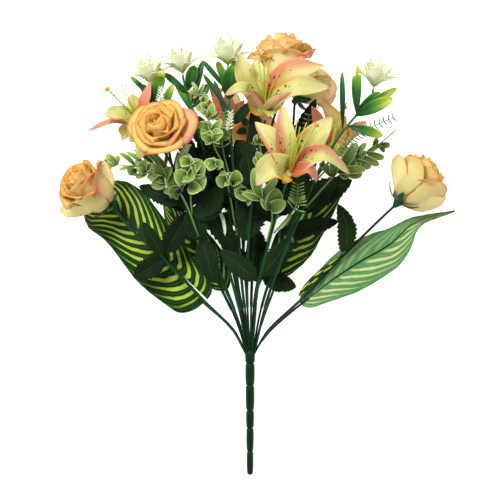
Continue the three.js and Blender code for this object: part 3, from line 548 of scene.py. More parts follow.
def lily_cloth(name, stops, keel_colour, coral, spotted):
    material, tree = new_material(name)
    blade = use_group(tree, across_group, {"Side power": 10.0, "End power": 30.0})
    cloth = use_group(tree, cloth_group, {"Unevenness": 0.15})
    ground = ramp(tree, blade["Along"], stops)
    keel = times(tree, fade(tree, blade["Off midrib"], 0.02, 0.2),
                 calc(tree, "SUBTRACT", 0.8, blade["Along"], clamped=True))
    ground = blend(tree, keel, ground, keel_colour)
    pleats = streaks(tree, 34.0, 1.5)
    blush = calc(tree, "MULTIPLY", mark(tree, "blush"), scaled(tree, pleats, 0.7, 0.62),
                 clamped=True)
    ground = blend(tree, times(tree, blush, 0.88), ground, coral)
    pale = times(tree, mark(tree, "blush"), span(tree, blade["Along"], 0.35, 0.95))
    ground = blend(tree, times(tree, pale, 0.6), ground, 0xE8AC94)
    ground = blend(tree, mark(tree, "margin"), ground, 0xE08A28)
    if spotted:
        ground = blend(tree, lily_spots(tree, blade), ground, 0x2E1A10)
    # The pleats also darken the colour in their grooves and lighten it on their ridges: painted
    # shade and painted highlight that follow the pleats' relief.
    ground = toned(tree, ground, times(tree, cloth["Tone"], scaled(tree, pleats, 0.5, 0.75)))
    relief = scaled(tree, pleats, 1.5, cloth["Height"])
    settle(tree, ground, 0.7, relief, bump=0.6, distance=0.0009, Specular_IOR_Level=0.12,
           Subsurface_Weight=0.1, Subsurface_Radius=(1.0, 0.7, 0.25), Subsurface_Scale=0.002)
    return material


lily_face = lily_cloth("lily_face", [
    (0.0, 0x848F22), (0.2, 0xAEB43C), (0.42, 0xC6C668), (0.75, 0xD2CE86), (1.0, 0xD8CC94)],
    0xA8AE34, 0xDA4646, True)
lily_underside = lily_cloth("lily_underside", [
    (0.0, 0xCCC67C), (0.35, 0xD8CC88), (0.7, 0xDEAC84), (1.0, 0xDC8A74)], 0xD8705A, 0xD84C40, False)

# %% [markdown]
# ## Leaves of cloth
# The rose leaves are dark green cloth with lateral veins pressed into them, paler on the back.
# A vein leaves the midrib at a slant, so the pattern is a wave along a slanted direction.

# %% Rose leaf, front and back
def leaf_cloth(name, ground_colour, vein_colour, rough):
    material, tree = new_material(name)
    blade = use_group(tree, across_group)
    cloth = use_group(tree, cloth_group, {"Unevenness": 0.5})
    slant = scaled(tree, blade["Off midrib"], -0.35, blade["Along"])
    vein = span(tree, calc(tree, "SINE", times(tree, slant, 44.0)), 0.8, 1.0)
    midrib = fade(tree, blade["Off midrib"], 0.03, 0.09)
    lines = calc(tree, "MAXIMUM", times(tree, vein, 0.4), midrib)
    ground = blend(tree, lines, ground_colour, vein_colour)
    tone = scaled(tree, mark(tree, "tone"), 1.0, 0.6)
    ground = toned(tree, ground, times(tree, tone, cloth["Tone"]))
    height = scaled(tree, lines, -2.0, cloth["Height"])
    settle(tree, ground, rough, height, bump=0.7, distance=0.0008, Specular_IOR_Level=0.14)
    return material


rose_leaf_front = leaf_cloth("rose_leaf_front", 0x0E2208, 0x223E16, 0.4)
rose_leaf_back = leaf_cloth("rose_leaf_back", 0x182E12, 0x284420, 0.6)


# %% [markdown]
# ## Striped leaves
# The large leaves carry yellow-green stripes that follow the lateral veins: they start narrow
# beside the midrib, swell, curve towards the tip and stop short of a dark margin. The print
# shows through pale on the back, which has a dark raised midrib.

# %% Striped leaf, front and back
def striped_cloth(name, dark, light, between, midrib_colour, soft, faint):
    material, tree = new_material(name)
    blade = use_group(tree, across_group)
    cloth = use_group(tree, cloth_group, {"Unevenness": 0.4})
    wobble = add_node(tree, "ShaderNodeTexNoise", {
        "Vector": add_node(tree, "ShaderNodeUVMap", uv_map="UVMap"), "Scale": 4.0})
    phase = times(tree, scaled(tree, wobble, 0.7, mark(tree, "stripe")), 2 * math.pi)
    swell = times(tree, span(tree, blade["Off midrib"], 0.0, 0.32),
                  fade(tree, blade["Off midrib"], 0.5, 1.0))
    level = scaled(tree, swell, -0.95, 1.2)
    over = calc(tree, "SUBTRACT", calc(tree, "SINE", phase), level)
    stripe = span(tree, over, -soft, soft)
    fine = calc(tree, "SINE", times(tree, phase, 3.0))
    ground = blend(tree, times(tree, span(tree, fine, 0.2, 1.0), 0.45), dark, between)
    half = scaled(tree, span(tree, blade["Side"], -0.2, 0.2), 1.0 - faint, faint)
    ground = blend(tree, times(tree, stripe, half), ground, light)
    midrib = fade(tree, blade["Off midrib"], 0.025, 0.06)
    ground = toned(tree, blend(tree, midrib, ground, midrib_colour), cloth["Tone"])
    height = scaled(tree, midrib, 3.0, cloth["Height"])
    settle(tree, ground, 0.5, height, bump=0.4, distance=0.0004, Specular_IOR_Level=0.1)
    return material


striped_front = striped_cloth(
    "striped_front", 0x0C2E0A, 0xAEC442, 0x2E6C1A, 0x12361A, 0.42, 1.0)
striped_back = striped_cloth(
    "striped_back", 0x5A8E54, 0xC6D48E, 0x78A666, 0x16341E, 0.5, 0.35)

# %% [markdown]
# ## Moulded leaves
# Sprig leaves, eucalyptus and fern are moulded plastic, coloured in bands: the tips of the sprig
# leaves are sprayed lime, the eucalyptus has a powdery pale rim, the fern a frosted tip. The dark
# foot of the eucalyptus leaves is painted shade where the leaves of a cluster overlap.

# %% Moulded foliage
def moulded_leaf(name, stops, rim_colour, rim_share, powers, rough, tone_range=(0.85, 0.3)):
    material, tree = new_material(name)
    blade = use_group(tree, across_group, {"Side power": powers[0], "End power": powers[1]})
    plastic = use_group(tree, moulded_group)
    ground = ramp(tree, calc(tree, "ADD", blade["Along"], mark(tree, "margin")), stops)
    ground = blend(tree, times(tree, blade["Rim"], rim_share), ground, rim_colour)
    midrib = fade(tree, blade["Off midrib"], 0.03, 0.12)
    ground = blend(tree, times(tree, midrib, 0.12), ground, rim_colour)
    tone = scaled(tree, mark(tree, "tone"), tone_range[1], tone_range[0])
    ground = toned(tree, ground, times(tree, tone, plastic["Tone"]))
    height = scaled(tree, midrib, -2.0, plastic["Height"])
    settle(tree, ground, rough, height, bump=0.25, distance=0.0003, Specular_IOR_Level=0.25)
    return material


sprig_leaf = moulded_leaf(
    "sprig_leaf", [(0.0, 0x123616), (0.45, 0x23601C), (0.7, 0x5C9420), (1.0, 0xC6CC30)],
    0x5E8E30, 0.25, (9.0, 20.0), 0.38)
# Eucalyptus: the near-black green at the foot of each leaf is painted shade where the leaves of a
# cluster overlap, over the leaf's own green.
eucalyptus_leaf = moulded_leaf(
    "eucalyptus_leaf", [(0.0, 0x1A340A), (0.35, 0x426818), (0.7, 0x7EA03A), (1.0, 0xA6BA60)],
    0xD2DCA6, 0.9, (7.0, 11.0), 0.62, (0.5, 0.6))
fern_leaf = moulded_leaf(
    "fern_leaf", [(0.0, 0x3E6422), (0.5, 0x68903C), (0.8, 0xA4BC78), (1.0, 0xD8E0C0)],
    0xA9BE90, 0.2, (8.0, 8.0), 0.5)


# %% White petals, threads, stems and handle
def plain_plastic(name, colour, other, rough=None, upper=None, shine=0.25, scale=160.0, uneven=0.3):
    material, tree = new_material(name)
    plastic = use_group(tree, moulded_group, {"Scale": scale, "Unevenness": uneven})
    ground = blend(tree, mark(tree, "tone"), colour, other)
    if upper:
        ground = blend(tree, span(tree, mark(tree, "margin"), 0.45, 0.9), ground, upper)
    ground = toned(tree, ground, plastic["Tone"])
    settle(tree, ground, rough or plastic["Rough"], plastic["Height"], bump=0.2,
           distance=0.0003, Specular_IOR_Level=shine)
    return material


white_plastic, tree = new_material("white_petal")
blade = use_group(tree, across_group, {"Side power": 8.0, "End power": 16.0})
plastic = use_group(tree, moulded_group, {"Unevenness": 0.12})
ground = ramp(tree, blade["Along"], [
    (0.0, 0x98B040), (0.3, 0xC8D28A), (0.65, 0xE0E2C2), (1.0, 0xD0D6A4)])
settle(tree, toned(tree, ground, plastic["Tone"]), 0.45, plastic["Height"], bump=0.2)

thread_plastic = plain_plastic("thread", 0xA8B62A, 0xCCCC46, 0.45)
stigma_plastic = plain_plastic("stigma", 0xD8921A, 0xE2A628, 0.5)
pale_thread = plain_plastic("pale_thread", 0xC2CE78, 0xD2D89A, 0.45)
coral_tube = plain_plastic("coral_tube", 0xD9C184, 0xDFA27C, 0.5)
stem_plastic = plain_plastic("stem", 0x103E1E, 0x1B522D, 0.42, shine=0.18)
bright_stem = plain_plastic("bright_stem", 0x103E1E, 0x1A4E2B, 0.42, 0x226A2C, 0.18)
dark_stem = plain_plastic("dark_stem", 0x0E2713, 0x16371D, 0.45, shine=0.16)
pale_stem = plain_plastic("pale_stem", 0x5C7A2E, 0x6E8A3A, 0.5)
handle_plastic = plain_plastic("handle_plastic", 0x082A11, 0x0D361B, shine=0.14, scale=70.0,
                               uneven=0.35)
print(len(bpy.data.materials), "materials")

# %% [markdown]
# ## Stems
# Every flower and every striped leaf has a wired stem. Its lower part is a stub of the moulding
# that runs into the handle; further up it is pushed into a sleeve. The lines pass through places
# read off the view from above.

# %% Lines of the stems: share of the stub, then the places from the handle upwards
GAP = 0.3
STUB_RADIUS = 1.25
SLEEVE_RADIUS = 1.7
THIN_RADIUS = 1.35
SLEEVE_OVERLAP = 6 * GAP
STEMS = table("""
rose_a: 0.25 247,354,31 236,320,40 221,288,56 200,240,86 180,190,112 165,143,130;
rose_b: 0.25 251,354,30 251,318,34 252,280,42 256,220,60 266,150,84 281,92,104;
rose_c: 0.16 246,354,31 235,332,36 200,297,50 159,254,64 135,233,69 111,206,72;
rose_d: 0.16 254,354,31 267,332,33 306,295,38 336,263,45 366,233,54 396,204,67;
rose_e: 0.25 249,354,28 248,318,26 246,285,26 242,230,34 240,180,56 248,140,62;
rose_f: 0.25 252,354,28 253,318,26 257,285,25 274,220,30 288,150,40 298,104,48;
lily_1: 0.25 250,354,32 248,318,43 247,285,58 250,220,90 257,160,116 263,125,129;
lily_2: 0.3 252,354,33 255,318,46 258,285,66 268,246,94 281,200,130 288,176,152;
lily_3: 0.25 253,354,31 259,318,38 268,285,48 290,230,66 314,182,82 326,162,92;
lily_4: 0.25 247,354,29 238,320,33 226,288,40 202,230,54 172,165,72 152,130,88;
lily_5: 0.25 249,354,29 244,318,29 238,285,31 232,230,42 226,180,48 224,134,50;
white_1: 0.25 248,354,32 241,318,41 233,285,54 212,215,76 180,150,92 152,92,98;
white_2: 0.25 249,354,30 243,318,35 236,285,44 222,220,64 204,150,84 185,80,88;
white_3: 0.25 250,354,31 246,318,38 242,285,49 238,220,76 232,150,104 227,72,108;
white_4: 0.25 254,354,32 262,318,42 272,285,58 298,220,92 328,153,122 358,112,134;
leaf_1: 0.3 246,354,28 231,328,26 200,299,28 172,267,30;
leaf_2: 0.3 248,354,28 240,326,24 230,300,21 222,284,20;
leaf_3: 0.3 254,354,29 262,322,28 271,297,28 281,272,30;
leaf_4: 0.2 253,354,29 268,333,27 290,313,29 309,298,32
""")
stub_shares = {name: row[0] for name, [row] in STEMS.items()}
stem_lines = {name: smooth_line([at(*place) for place in row[1:]]) for name, [row] in STEMS.items()}


def stem_points(name, start, end, rows):
    return [stem_lines[name](lerp(start, end, k / rows)) for k in range(rows + 1)]


def add_stem(mesh, name, seat=None, axis=None, foot_radius=1.5):
    """The sleeve of a stem; with a seat, it turns into the flower's axis and ends under it."""
    share = stub_shares[name]
    speed = (stem_lines[name](share + 0.01) - stem_lines[name](share)).length * 100
    start = share - SLEEVE_OVERLAP / speed
    points = stem_points(name, start, 0.9 if seat else 1.0, 20)
    if seat:
        down = axis.normalized()
        bend = smooth_line([points[-4], points[-1], seat - down * 6, seat - down * GAP])
        points = points[:-3] + [bend(lerp(0.12, 1, k / 9)) for k in range(1, 10)]
    count = len(points) - 1
    radii = [lerp(SLEEVE_RADIUS, THIN_RADIUS, min(1, k / count * 1.1)) for k in range(count + 1)]
    radii[0] = 0.8 * STUB_RADIUS
    if seat:
        radii[-1] = foot_radius
    tube(mesh, points, radii)


print(len(stem_lines), "stem lines")

# %% [markdown]
# ## The handle
# One moulding: a slim grip of knuckles between pinched rings, rounded at its end, with a stub for
# every stem. The grip is a profile spun round its axis; the stubs are tubes that start inside it.

# %% Handle
TOP_ROW, END_ROW = 351, 474.4
HANDLE_TOP = at(MIDDLE, TOP_ROW, 30)
HANDLE_END = at(MIDDLE, END_ROW, 2.9)
GROOVES = [(END_ROW - row) / (END_ROW - TOP_ROW) for row in (451, 427.5, 410, 385, 363)]
GRIP_RADII = (3.4, 5.6)
KNUCKLE_SWELL = 0.4
GROOVE_DEPTH = 1.0


def grip_profile(length):
    radius = lambda t: lerp(*GRIP_RADII, t)
    profile = [(0.0, 0.0), (1.5, 0.1), (2.6, 0.5), (3.2, 1.2)]
    stops = [0.0] + GROOVES + [1.0]
    for low, high in zip(stops, stops[1:]):
        for k in range(1, 10):
            t = lerp(low, high, k / 10)
            belly = KNUCKLE_SWELL * math.sin(math.pi * k / 10)
            profile.append((radius(t) + belly, max(1.6, t * length)))
        if high < 1:
            lip, bottom = radius(high) - 0.2, radius(high) - GROOVE_DEPTH
            profile += [(lip, high * length - 1.0), (bottom, high * length - 0.4),
                        (bottom, high * length + 0.4), (lip, high * length + 1.0)]
    return profile + [(5.4, length - 1), (4.9, length + 0.8), (3.6, length + 1.8), (0, length + 2)]


mesh = new_mesh()
length = (HANDLE_TOP - HANDLE_END).length
corners = [mesh.verts.new((r, 0, z)) for r, z in grip_profile(length)]
edges = [mesh.edges.new(pair) for pair in zip(corners, corners[1:])]
bmesh.ops.spin(mesh, geom=corners + edges, cent=(0, 0, 0), axis=(0, 0, 1), angle=2 * math.pi,
               steps=28, use_merge=True)
bmesh.ops.remove_doubles(mesh, verts=mesh.verts, dist=1e-4)
bmesh.ops.recalc_face_normals(mesh, faces=mesh.faces)
for face in mesh.faces:
    face.smooth = True
bmesh.ops.transform(mesh, matrix=stand(HANDLE_END, HANDLE_TOP - HANDLE_END), verts=mesh.verts)
for name, share in stub_shares.items():
    tube(mesh, stem_points(name, 0, share, 10), [STUB_RADIUS] * 11)
piece_of(mesh, "grip_and_stubs", [handle_plastic], ["handle"])

# %% [markdown]
# ## A rose petal
# A real cloth petal is dished by a hot iron: it leaves the foot almost flat, rises steeply, and
# leans or rolls outwards at its rim. Its section is described by the slope at even shares of its
# length and summed up step by step. The side edges roll back more than the middle, which gives
# the pointed look of an opening rose.

# %% Rose petal
ROWS = 12
COLUMNS = 12
WAVE = 0.8
SIDE_SHORTFALL = 0.17
OVERLAP_TWIST = 1.7
HEART_TURNS = 4.0


def petal_section(slopes, roll, u):
    """Places of radius and height, for a petal of length 1, from the foot to the rim."""
    reach = 1 - SIDE_SHORTFALL * abs(u) ** 2.6
    radius = height = 0.0
    places = [(radius, height)]
    for k in range(ROWS):
        v = (k + 0.5) / ROWS
        slope = math.radians(along(slopes, v) - roll * abs(u) ** 3 * ease(0.45, 1, v))
        radius += math.cos(slope) * reach / ROWS
        height += math.sin(slope) * reach / ROWS
        places.append((radius, height))
    return places


def rose_petal(mesh, matrix, turn, spread, slopes, rim, tall, foot, roll, blush, cream):
    """A petal whose middle reaches the radius rim and the height tall."""
    middle = petal_section(slopes, 0, 0)
    wide = (rim - foot[0]) / max(r for r, _ in middle)
    high = (tall - foot[1]) / max(z for _, z in middle)
    phase = random.uniform(0, 6.28)
    sections = {}

    def place(u, v):
        key = round(u, 4)
        if key not in sections:
            sections[key] = petal_section(slopes, roll, u)
        radius, height = sections[key][round(v * ROWS)]
        radius = foot[0] + wide * radius
        height = foot[1] + high * height
        width = spread * (0.5 + 0.5 * ease(0, 0.55, v)) * (1 - 0.3 * ease(0.7, 1, v) ** 2)
        angle = turn + width * u
        radius += OVERLAP_TWIST * u * min(1, 3 * v) + WAVE * v * v * math.sin(4 * u + phase)
        height += WAVE * v * v * math.cos(3.3 * u + phase)
        radius = max(radius, 0.6)
        return matrix @ Vector((radius * math.cos(angle), radius * math.sin(angle), height))

    def marks(u, v):
        return {"blush": blush * ease(0.2, 0.9, abs(u) * 0.5 + v * 0.6),
                "margin": cream * ease(0, 0.7, v)}

    sheet(mesh, place, COLUMNS, ROWS, 0, marks)


def rose_heart(mesh, matrix, radius, height):
    """Tightly rolled middle: one long sheet wound in a spiral, with a waved upper edge."""

    def place(u, v):
        share = (u + 1) / 2
        angle = share * HEART_TURNS * 2 * math.pi
        r = lerp(0.12, 1.0, share) * radius * (0.55 + 0.45 * math.sin(min(1, v * 1.3) * 1.57))
        z = height * (0.35 + 0.65 * v) + 1.4 * v * math.sin(angle * 1.7)
        r *= 1 - 0.25 * ease(0.7, 1, v)
        return matrix @ Vector((r * math.cos(angle), r * math.sin(angle), z))

    sheet(mesh, place, 84, 6, 0, lambda u, v: {"margin": 0.3 * v}, 0.6)


# %% [markdown]
# ## Rose blooms
# The petals of a rose follow each other at the golden angle, each a little smaller and steeper
# than the one before. So a rose is described by its first and its last petal, and all others are
# mixed from these two. Open roses spread their first petals, half-open ones keep them upright,
# and the two at the back of the bouquet look downwards and stay simpler.

# %% Kinds and places of the roses
# A kind: count, crowding, then for the first and the last petal the slopes, the share of the
# radius at its rim, the share of the height, the roll of its sides and its spread in degrees.
OPEN = (18, 0.7, ((8, 38, 58, 52, 26, -24), 1.07, 0.46, 55, 58),
        ((34, 76, 92, 100, 98, 84), 0.31, 1.0, 30, 68))
TALL = (14, 1.0, ((4, 62, 88, 88, 74, 20), 0.98, 0.66, 35, 62),
        ((30, 76, 90, 96, 94, 72), 0.36, 1.0, 25, 66))
HALF_OPEN = (16, 0.8, ((8, 52, 80, 86, 76, 40), 0.98, 0.78, 28, 54),
             ((34, 76, 92, 100, 98, 84), 0.31, 1.0, 22, 68))
UPRIGHT = (16, 0.9, ((8, 52, 80, 86, 76, 40), 0.98, 0.78, 22, 50),
           ((30, 74, 92, 100, 98, 78), 0.36, 1.0, 4, 66))
BACK = (12, 0.85, ((10, 45, 66, 62, 40, -10), 1.0, 0.7, 50, 47),
        ((30, 72, 90, 98, 96, 74), 0.4, 0.98, 30, 62))
GOLDEN_ANGLE = math.radians(137.5)
HEART_RADIUS, HEART_HEIGHT = 0.29, 0.97
# A rose: seat, facing, radius, height, kind, spin, creaminess.
ROSES = {
    "a": (at(165, 137, 136), Vector((-0.26, 0.48, 1)), 39.5, 41, OPEN, 0.2, 0.3),
    "b": (at(283, 84, 108), Vector((-0.04, 1, 0.16)), 38, 57, TALL, 0.62, 1.0),
    "c": (at(108, 203, 73), Vector((-0.74, 0.5, 0.6)), 35, 61, HALF_OPEN, 0.1, 0.3),
    "d": (at(400, 200, 69), Vector((0.66, 0.74, 0.06)), 34, 58, UPRIGHT, 0.7, 0.5),
    "e": (at(250, 128, 38), Vector((0.02, 0.12, -1)), 31, 46, BACK, 0.0, 0.0),
    "f": (at(299, 98, 44), Vector((0.7, 0.5, -0.55)), 32, 46, BACK, 0.4, 1.2),
}


# %% Loose petals of the half-open roses: foot, tip, facing, width
LOOSE = table("""
c: 100,204,66 60,211,60 0.1,-0.4,1 17; 108,196,84 98,160,92 0.8,0.1,0.8 20;
d: 402,202,64 446,197,52 -0.1,-0.7,0.8 22; 403,199,72 398,154,84 -0.2,0,1 18
""")


def rose_matrix(key):
    seat, facing, _, _, _, spin, _ = ROSES[key]
    return stand(seat, facing, Vector((math.cos(spin), math.sin(spin), 0.2)))


for key, (seat, facing, radius, height, (count, crowd, first, last), spin, cream) in ROSES.items():
    mesh = new_mesh()
    matrix = rose_matrix(key)
    for k in range(count):
        t = (k / (count - 1)) ** crowd
        slopes = tuple(lerp(a, b, t) + random.uniform(-2, 2) for a, b in zip(first[0], last[0]))
        rim, tall, roll, spread = (lerp(a, b, t) for a, b in zip(first[1:], last[1:]))
        blush = {0: 0.9, 5: 0.5}.get(k, 0.08 * random.random())
        foot = (3.5 - 1.4 * t, 1.2 * t)
        rose_petal(mesh, matrix, k * GOLDEN_ANGLE, math.radians(spread), slopes, rim * radius,
                   tall * height * random.uniform(0.98, 1.02), foot, roll,
                   blush * (0.3 if key in "df" else 1), cream * random.uniform(0.6, 1.2))
    rose_heart(mesh, matrix, radius * HEART_RADIUS, height * HEART_HEIGHT)
    for foot, tip, face, width in LOOSE.get(key, ()):
        surface = limb(at(*foot), at(*tip), Vector(face), width, outline(0.45, 0.3, 0.1), bow=0.12,
                       cup=0.2, wave=0.1, waves=1)
        sheet(mesh, surface, 10, 12, 0, lambda u, v: {"blush": 0.3 * v * abs(u), "margin": 0.7})
    outside = rose_inside if key == "e" else rose_outside
    piece_of(mesh, f"rose_{key}_petals", [outside, rose_inside],
             [f"rose_{key}_bloom"], PETAL_THICKNESS, back=True)

# %% [markdown]
# ## Rose leaves and calyx
# Rose leaves are stamped with a saw edge. The outline's width is notched by a sawtooth along the
# blade, so the teeth are real geometry. Under each bloom sits a small moulded cup with five
# pointed sepals, longer on the two roses that stand apart.

# %% Leaves of each rose stem: share of the stem, base, tip, width, bow, fold, sway
ROSE_LEAVES = table("""
a: 0.62 180,203,104 139,186,100 22 -0.04 0.2; 0.56 199,216,99 223,187,103 28 0.04 0.15;
    0.48 199,240,88 191,206,96 30 0.05 0.25; 0.46 202,238,84 214,283,76 28 0.06 0.25;
b: 0.66 262,182,82 236,140,92 38 0.04 0.15; 0.62 256,194,72 217,163,79 32 0.04 0.15;
    0.5 256,196,76 244,241,76 38 0.1 0.3; 0.42 262,276,58 291,239,67 27 0 0.1;
c: 0.62 163,256,62 143,222,76 18 0.06 0.3; 0.6 166,252,62 188,213,78 28 0.06 0.25;
    0.6 164,260,60 134,277,56 27 0.08 0.25;
d: 0.6 343,252,52 338,204,66 24 0.06 0.35 0.12;
e: 0.5 244,214,33 222,184,28 32 0.03 0.2; 0.46 248,214,34 217,221,26 22 0.06 0.2;
    0.36 246,274,27 225,242,21 30 0.03 0.2;
f: 0.6 300,203,46 352,180,62 34 0.06 0.3; 0.52 272,222,34 263,188,34 28 0.05 0.2;
    0.42 282,233,52 339,221,60 22 0.05 0.3; 0.3 263,278,38 296,287,38 25 0.03 0.2
""")
SAW_TEETH = 11
TOOTH_DEPTH = 0.22
VEINS = 7
VEIN_DEPTH = 0.35
VEIN_SLANT = 0.35
SEPALS = 5
STALK_RADII = (1.0, 0.6)
STALK_LENGTH = 4


def saw_outline(v):
    tooth = (v * SAW_TEETH) % 1.0
    return outline(0.6, 0.74, 0.03)(v) * (1 - TOOTH_DEPTH * tooth)


def corrugated(place):
    """Presses the lateral veins into a blade."""

    def pressed(u, v):
        point = place(u, v)
        wave = math.sin(2 * math.pi * VEINS * (v - VEIN_SLANT * abs(u)))
        point.z -= VEIN_DEPTH * wave * abs(u)
        return point

    return pressed


def rose_leaf(mesh, start, base, tip, width, bow, fold, sway=0):
    surface = limb(base, tip, UP, width, saw_outline, bow, 0, fold, 0.08, 2, sway)
    sheet(mesh, corrugated(surface), 8, 4 * SAW_TEETH)
    return smooth_line([start, surface(0, 0), surface(0, 0.14)])


def add_calyx(mesh, matrix, finish, reach, rise):
    cup = [(0.4, -11), (2.0, -11), (3.4, -8), (5.6, -4), (5.8, -2), (5.2, -GAP), (0.4, -GAP)]
    middle = matrix @ Vector((0, 0, 0))
    axis = (matrix @ Vector((0, 0, 1)) - middle).normalized()
    tube(mesh, [middle + axis * z for _, z in cup], [r for r, _ in cup], 12, finish)
    for k in range(SEPALS):
        out = spoke(2 * math.pi * k / SEPALS + 0.3)
        base, tip = out * 4.2 - UP * 3.2, out * (5 + reach) + UP * rise
        surface = limb(base, tip, UP, 8, outline(0.3, 0.7), bow=-0.12, fold=0.15)
        for lift in (0.0, -0.5):
            sheet(mesh, lambda u, v: matrix @ (surface(u, v) + UP * lift), 4, 8, finish)


for key in ROSES:
    name = f"rose_{key}"
    seat, facing = ROSES[key][:2]
    mesh = new_mesh()
    stems = new_mesh()
    add_stem(stems, name, seat, facing)
    for share, base, tip, *form in ROSE_LEAVES[key]:
        stalk = rose_leaf(mesh, stem_lines[name](share), at(*base), at(*tip), *form)
        taper(stems, stalk, 8, *STALK_RADII, 6)
    add_calyx(stems, rose_matrix(key), 1, *((19, 9) if key in "cd" else (13, 3)))
    piece_of(stems, f"{name}_stalk", [dark_stem, stem_plastic], [f"{name}_stem"])
    piece_of(mesh, f"{name}_leaves", [rose_leaf_front, rose_leaf_back],
             [f"{name}_stem"], LEAF_THICKNESS, back=True)

# %% [markdown]
# The heart of the bouquet is nearly closed by more dark leaves, which sit lower and fill the
# space between the stems. Each hangs on the stem that it grows from.

# %% Filling leaves: stem, share, tip, width
FILLERS = table("""
leaves: rose_b 0.7 273,150,88 26; rose_b 0.78 252,110,84 20; rose_a 0.7 224,204,96 28;
    rose_a 0.72 208,152,100 28; lily_1 0.66 226,174,86 32; white_3 0.66 204,184,82 30;
    white_3 0.78 205,128,94 26; rose_e 0.72 260,162,60 30; lily_5 0.68 198,170,48 32;
    lily_4 0.66 163,190,58 26; rose_f 0.66 316,158,46 32; lily_3 0.66 336,178,72 28;
    rose_f 0.68 262,148,44 32; rose_f 0.74 316,99,56 22; lily_2 0.72 302,190,96 22;
    white_3 0.86 253,101,98 13; white_2 0.74 226,128,78 24; white_2 0.68 188,158,70 28;
    lily_5 0.76 246,142,58 28; white_1 0.7 214,150,84 26; rose_e 0.66 222,152,40 34;
    lily_1 0.6 272,190,84 26; white_4 0.62 314,180,90 26; lily_4 0.74 192,140,70 26;
    lily_2 0.42 220,250,86 26; rose_b 0.72 232,158,96 30; lily_1 0.7 246,152,112 26;
    white_3 0.5 196,196,88 26; rose_f 0.46 254,226,50 26; rose_f 0.4 256,244,40 26;
    white_2 0.8 198,116,64 22; lily_5 0.72 208,122,50 24; white_2 0.64 200,138,60 30
""")
mesh = new_mesh()
stalks = new_mesh()
for name, share, tip, width in FILLERS["leaves"]:
    start = stem_lines[name](share)
    base = start + (at(*tip) - start).normalized() * STALK_LENGTH
    bow, fold = random.uniform(0.02, 0.08), random.uniform(0.1, 0.3)
    stalk = rose_leaf(mesh, start, base, at(*tip), width, bow, fold)
    taper(stalks, stalk, 6, *STALK_RADII, 6)
piece_of(mesh, "filling_leaves", [rose_leaf_front, rose_leaf_back], [],
         LEAF_THICKNESS, back=True)
piece_of(stalks, "filling_stalks", [dark_stem])

# %% [markdown]
# ## Lilies
# A lily petal leaves the tube, swells and rolls back to a point. Its midrib follows a smooth line
# through four places. A groove runs along the midrib and the edges are ruffled. The petals are
# painted by hand on one side only, so each petal has its own paint: a coral half, a coral edge,
# an orange margin, or red and pink all over where the back of the petal is turned up.

# %% Lilies: seat, axis, stigma and anthers, then petals (middle, tip, width, paint)
LILIES = table("""
1: 264.5,119,132 -0.02,0.75,0.66 270,56,196 264,60,190 284,64,190 250,70,194 259,63,186;
    245,79,166 238,52,172 25 orange; 241,88,180 225,95,164 13 edge;
    287,75,164 324,65,156 28 coral; 296,88,184 330,87,170 24 orange;
    275,101,186 292,92,206 9 edge; 260,76,156 254,60,150 18 edge;
2: 289,175,156 0.03,0.3,0.95 316,125,222 297,121,216 300,128,222 306,124,212 290,134,220;
    271,138,190 255,122,182 19 edge; 285,132,192 282,105,184 20 coral;
    315,137,192 332,117,190 26 orange; 322,153,200 350,174,176 17 coral;
    309,168,192 317,181,172 12 red; 271,167,190 256,185,176 27 orange;
3: 329,158,95 0.1,0.8,0.45 344,107,124 346,104,118 340,112,120; 337,126,102 322,100,98 22 gold;
    321,128,102 312,106,90 16 red; 350,134,104 366,121,96 17 pink; 341,150,108 350,162,98 15 edge;
    314,146,110 299,141,104 18 edge; 338,138,88 346,116,76 16 pink;
4: 150,126,92 -0.72,0.45,0.5 107,89,124 111,92,128 122,85,124 114,95,132 126,86,118 134,86,120;
    113,121,100 87,131.5,84 8 pink; 119,114,112 104,116,116 21 edge;
    136,107,98 131,94,94 22 cream; 145,102,108 151,80,104 13 red; 143,142,90 139,159,78 22 coral;
    126,131,84 122,140,74 16 edge;
5: 224,129,52 -0.1,0.8,0.25 221,90,58 216,96,57 226,98,57; 200,104,62 172,80,60 18 pink;
    219,102,76 209,81,84 14 red; 229,106,76 226,90,88 14 pink; 238,112,62 244,100,66 18 cream;
    212,112,36 196,92,16 20 edge; 234,112,40 236,92,22 20 edge
""")
TUBE_LENGTH = 12
LILY_CUP = 0.38
LILY_GROOVE = 1.4
LILY_RUFFLE = 0.28


# %% Paint of a petal
def petal_paint(kind):
    """Marks of a petal: the paint lies on the side where u is below 0."""

    def marks(u, v):
        hem = 0.25 * ease(0.86, 1, abs(u))
        blush, margin = {
            "coral": (ease(-0.1, 0.6, -u) * (1 - 0.5 * ease(0.5, 0.9, v)), 0.0),
            "edge": (ease(0.55, 0.85, -u), 0.0),
            "orange": (0.0, max(hem, ease(0.66, 0.9, -u) * (1 - 0.8 * ease(0.5, 0.8, v)))),
            "red": (0.95, 0.0),
            "pink": (0.25 + 0.5 * ease(0.4, 0.9, v), 0.5 * hem),
            "gold": (0.0, max(0.15, 0.8 * ease(0.4, 0.85, abs(u)))),
            "cream": (0.0, hem),
        }[kind]
        return {"blush": blush, "margin": margin, "stripe": float(kind == "red")}

    return marks


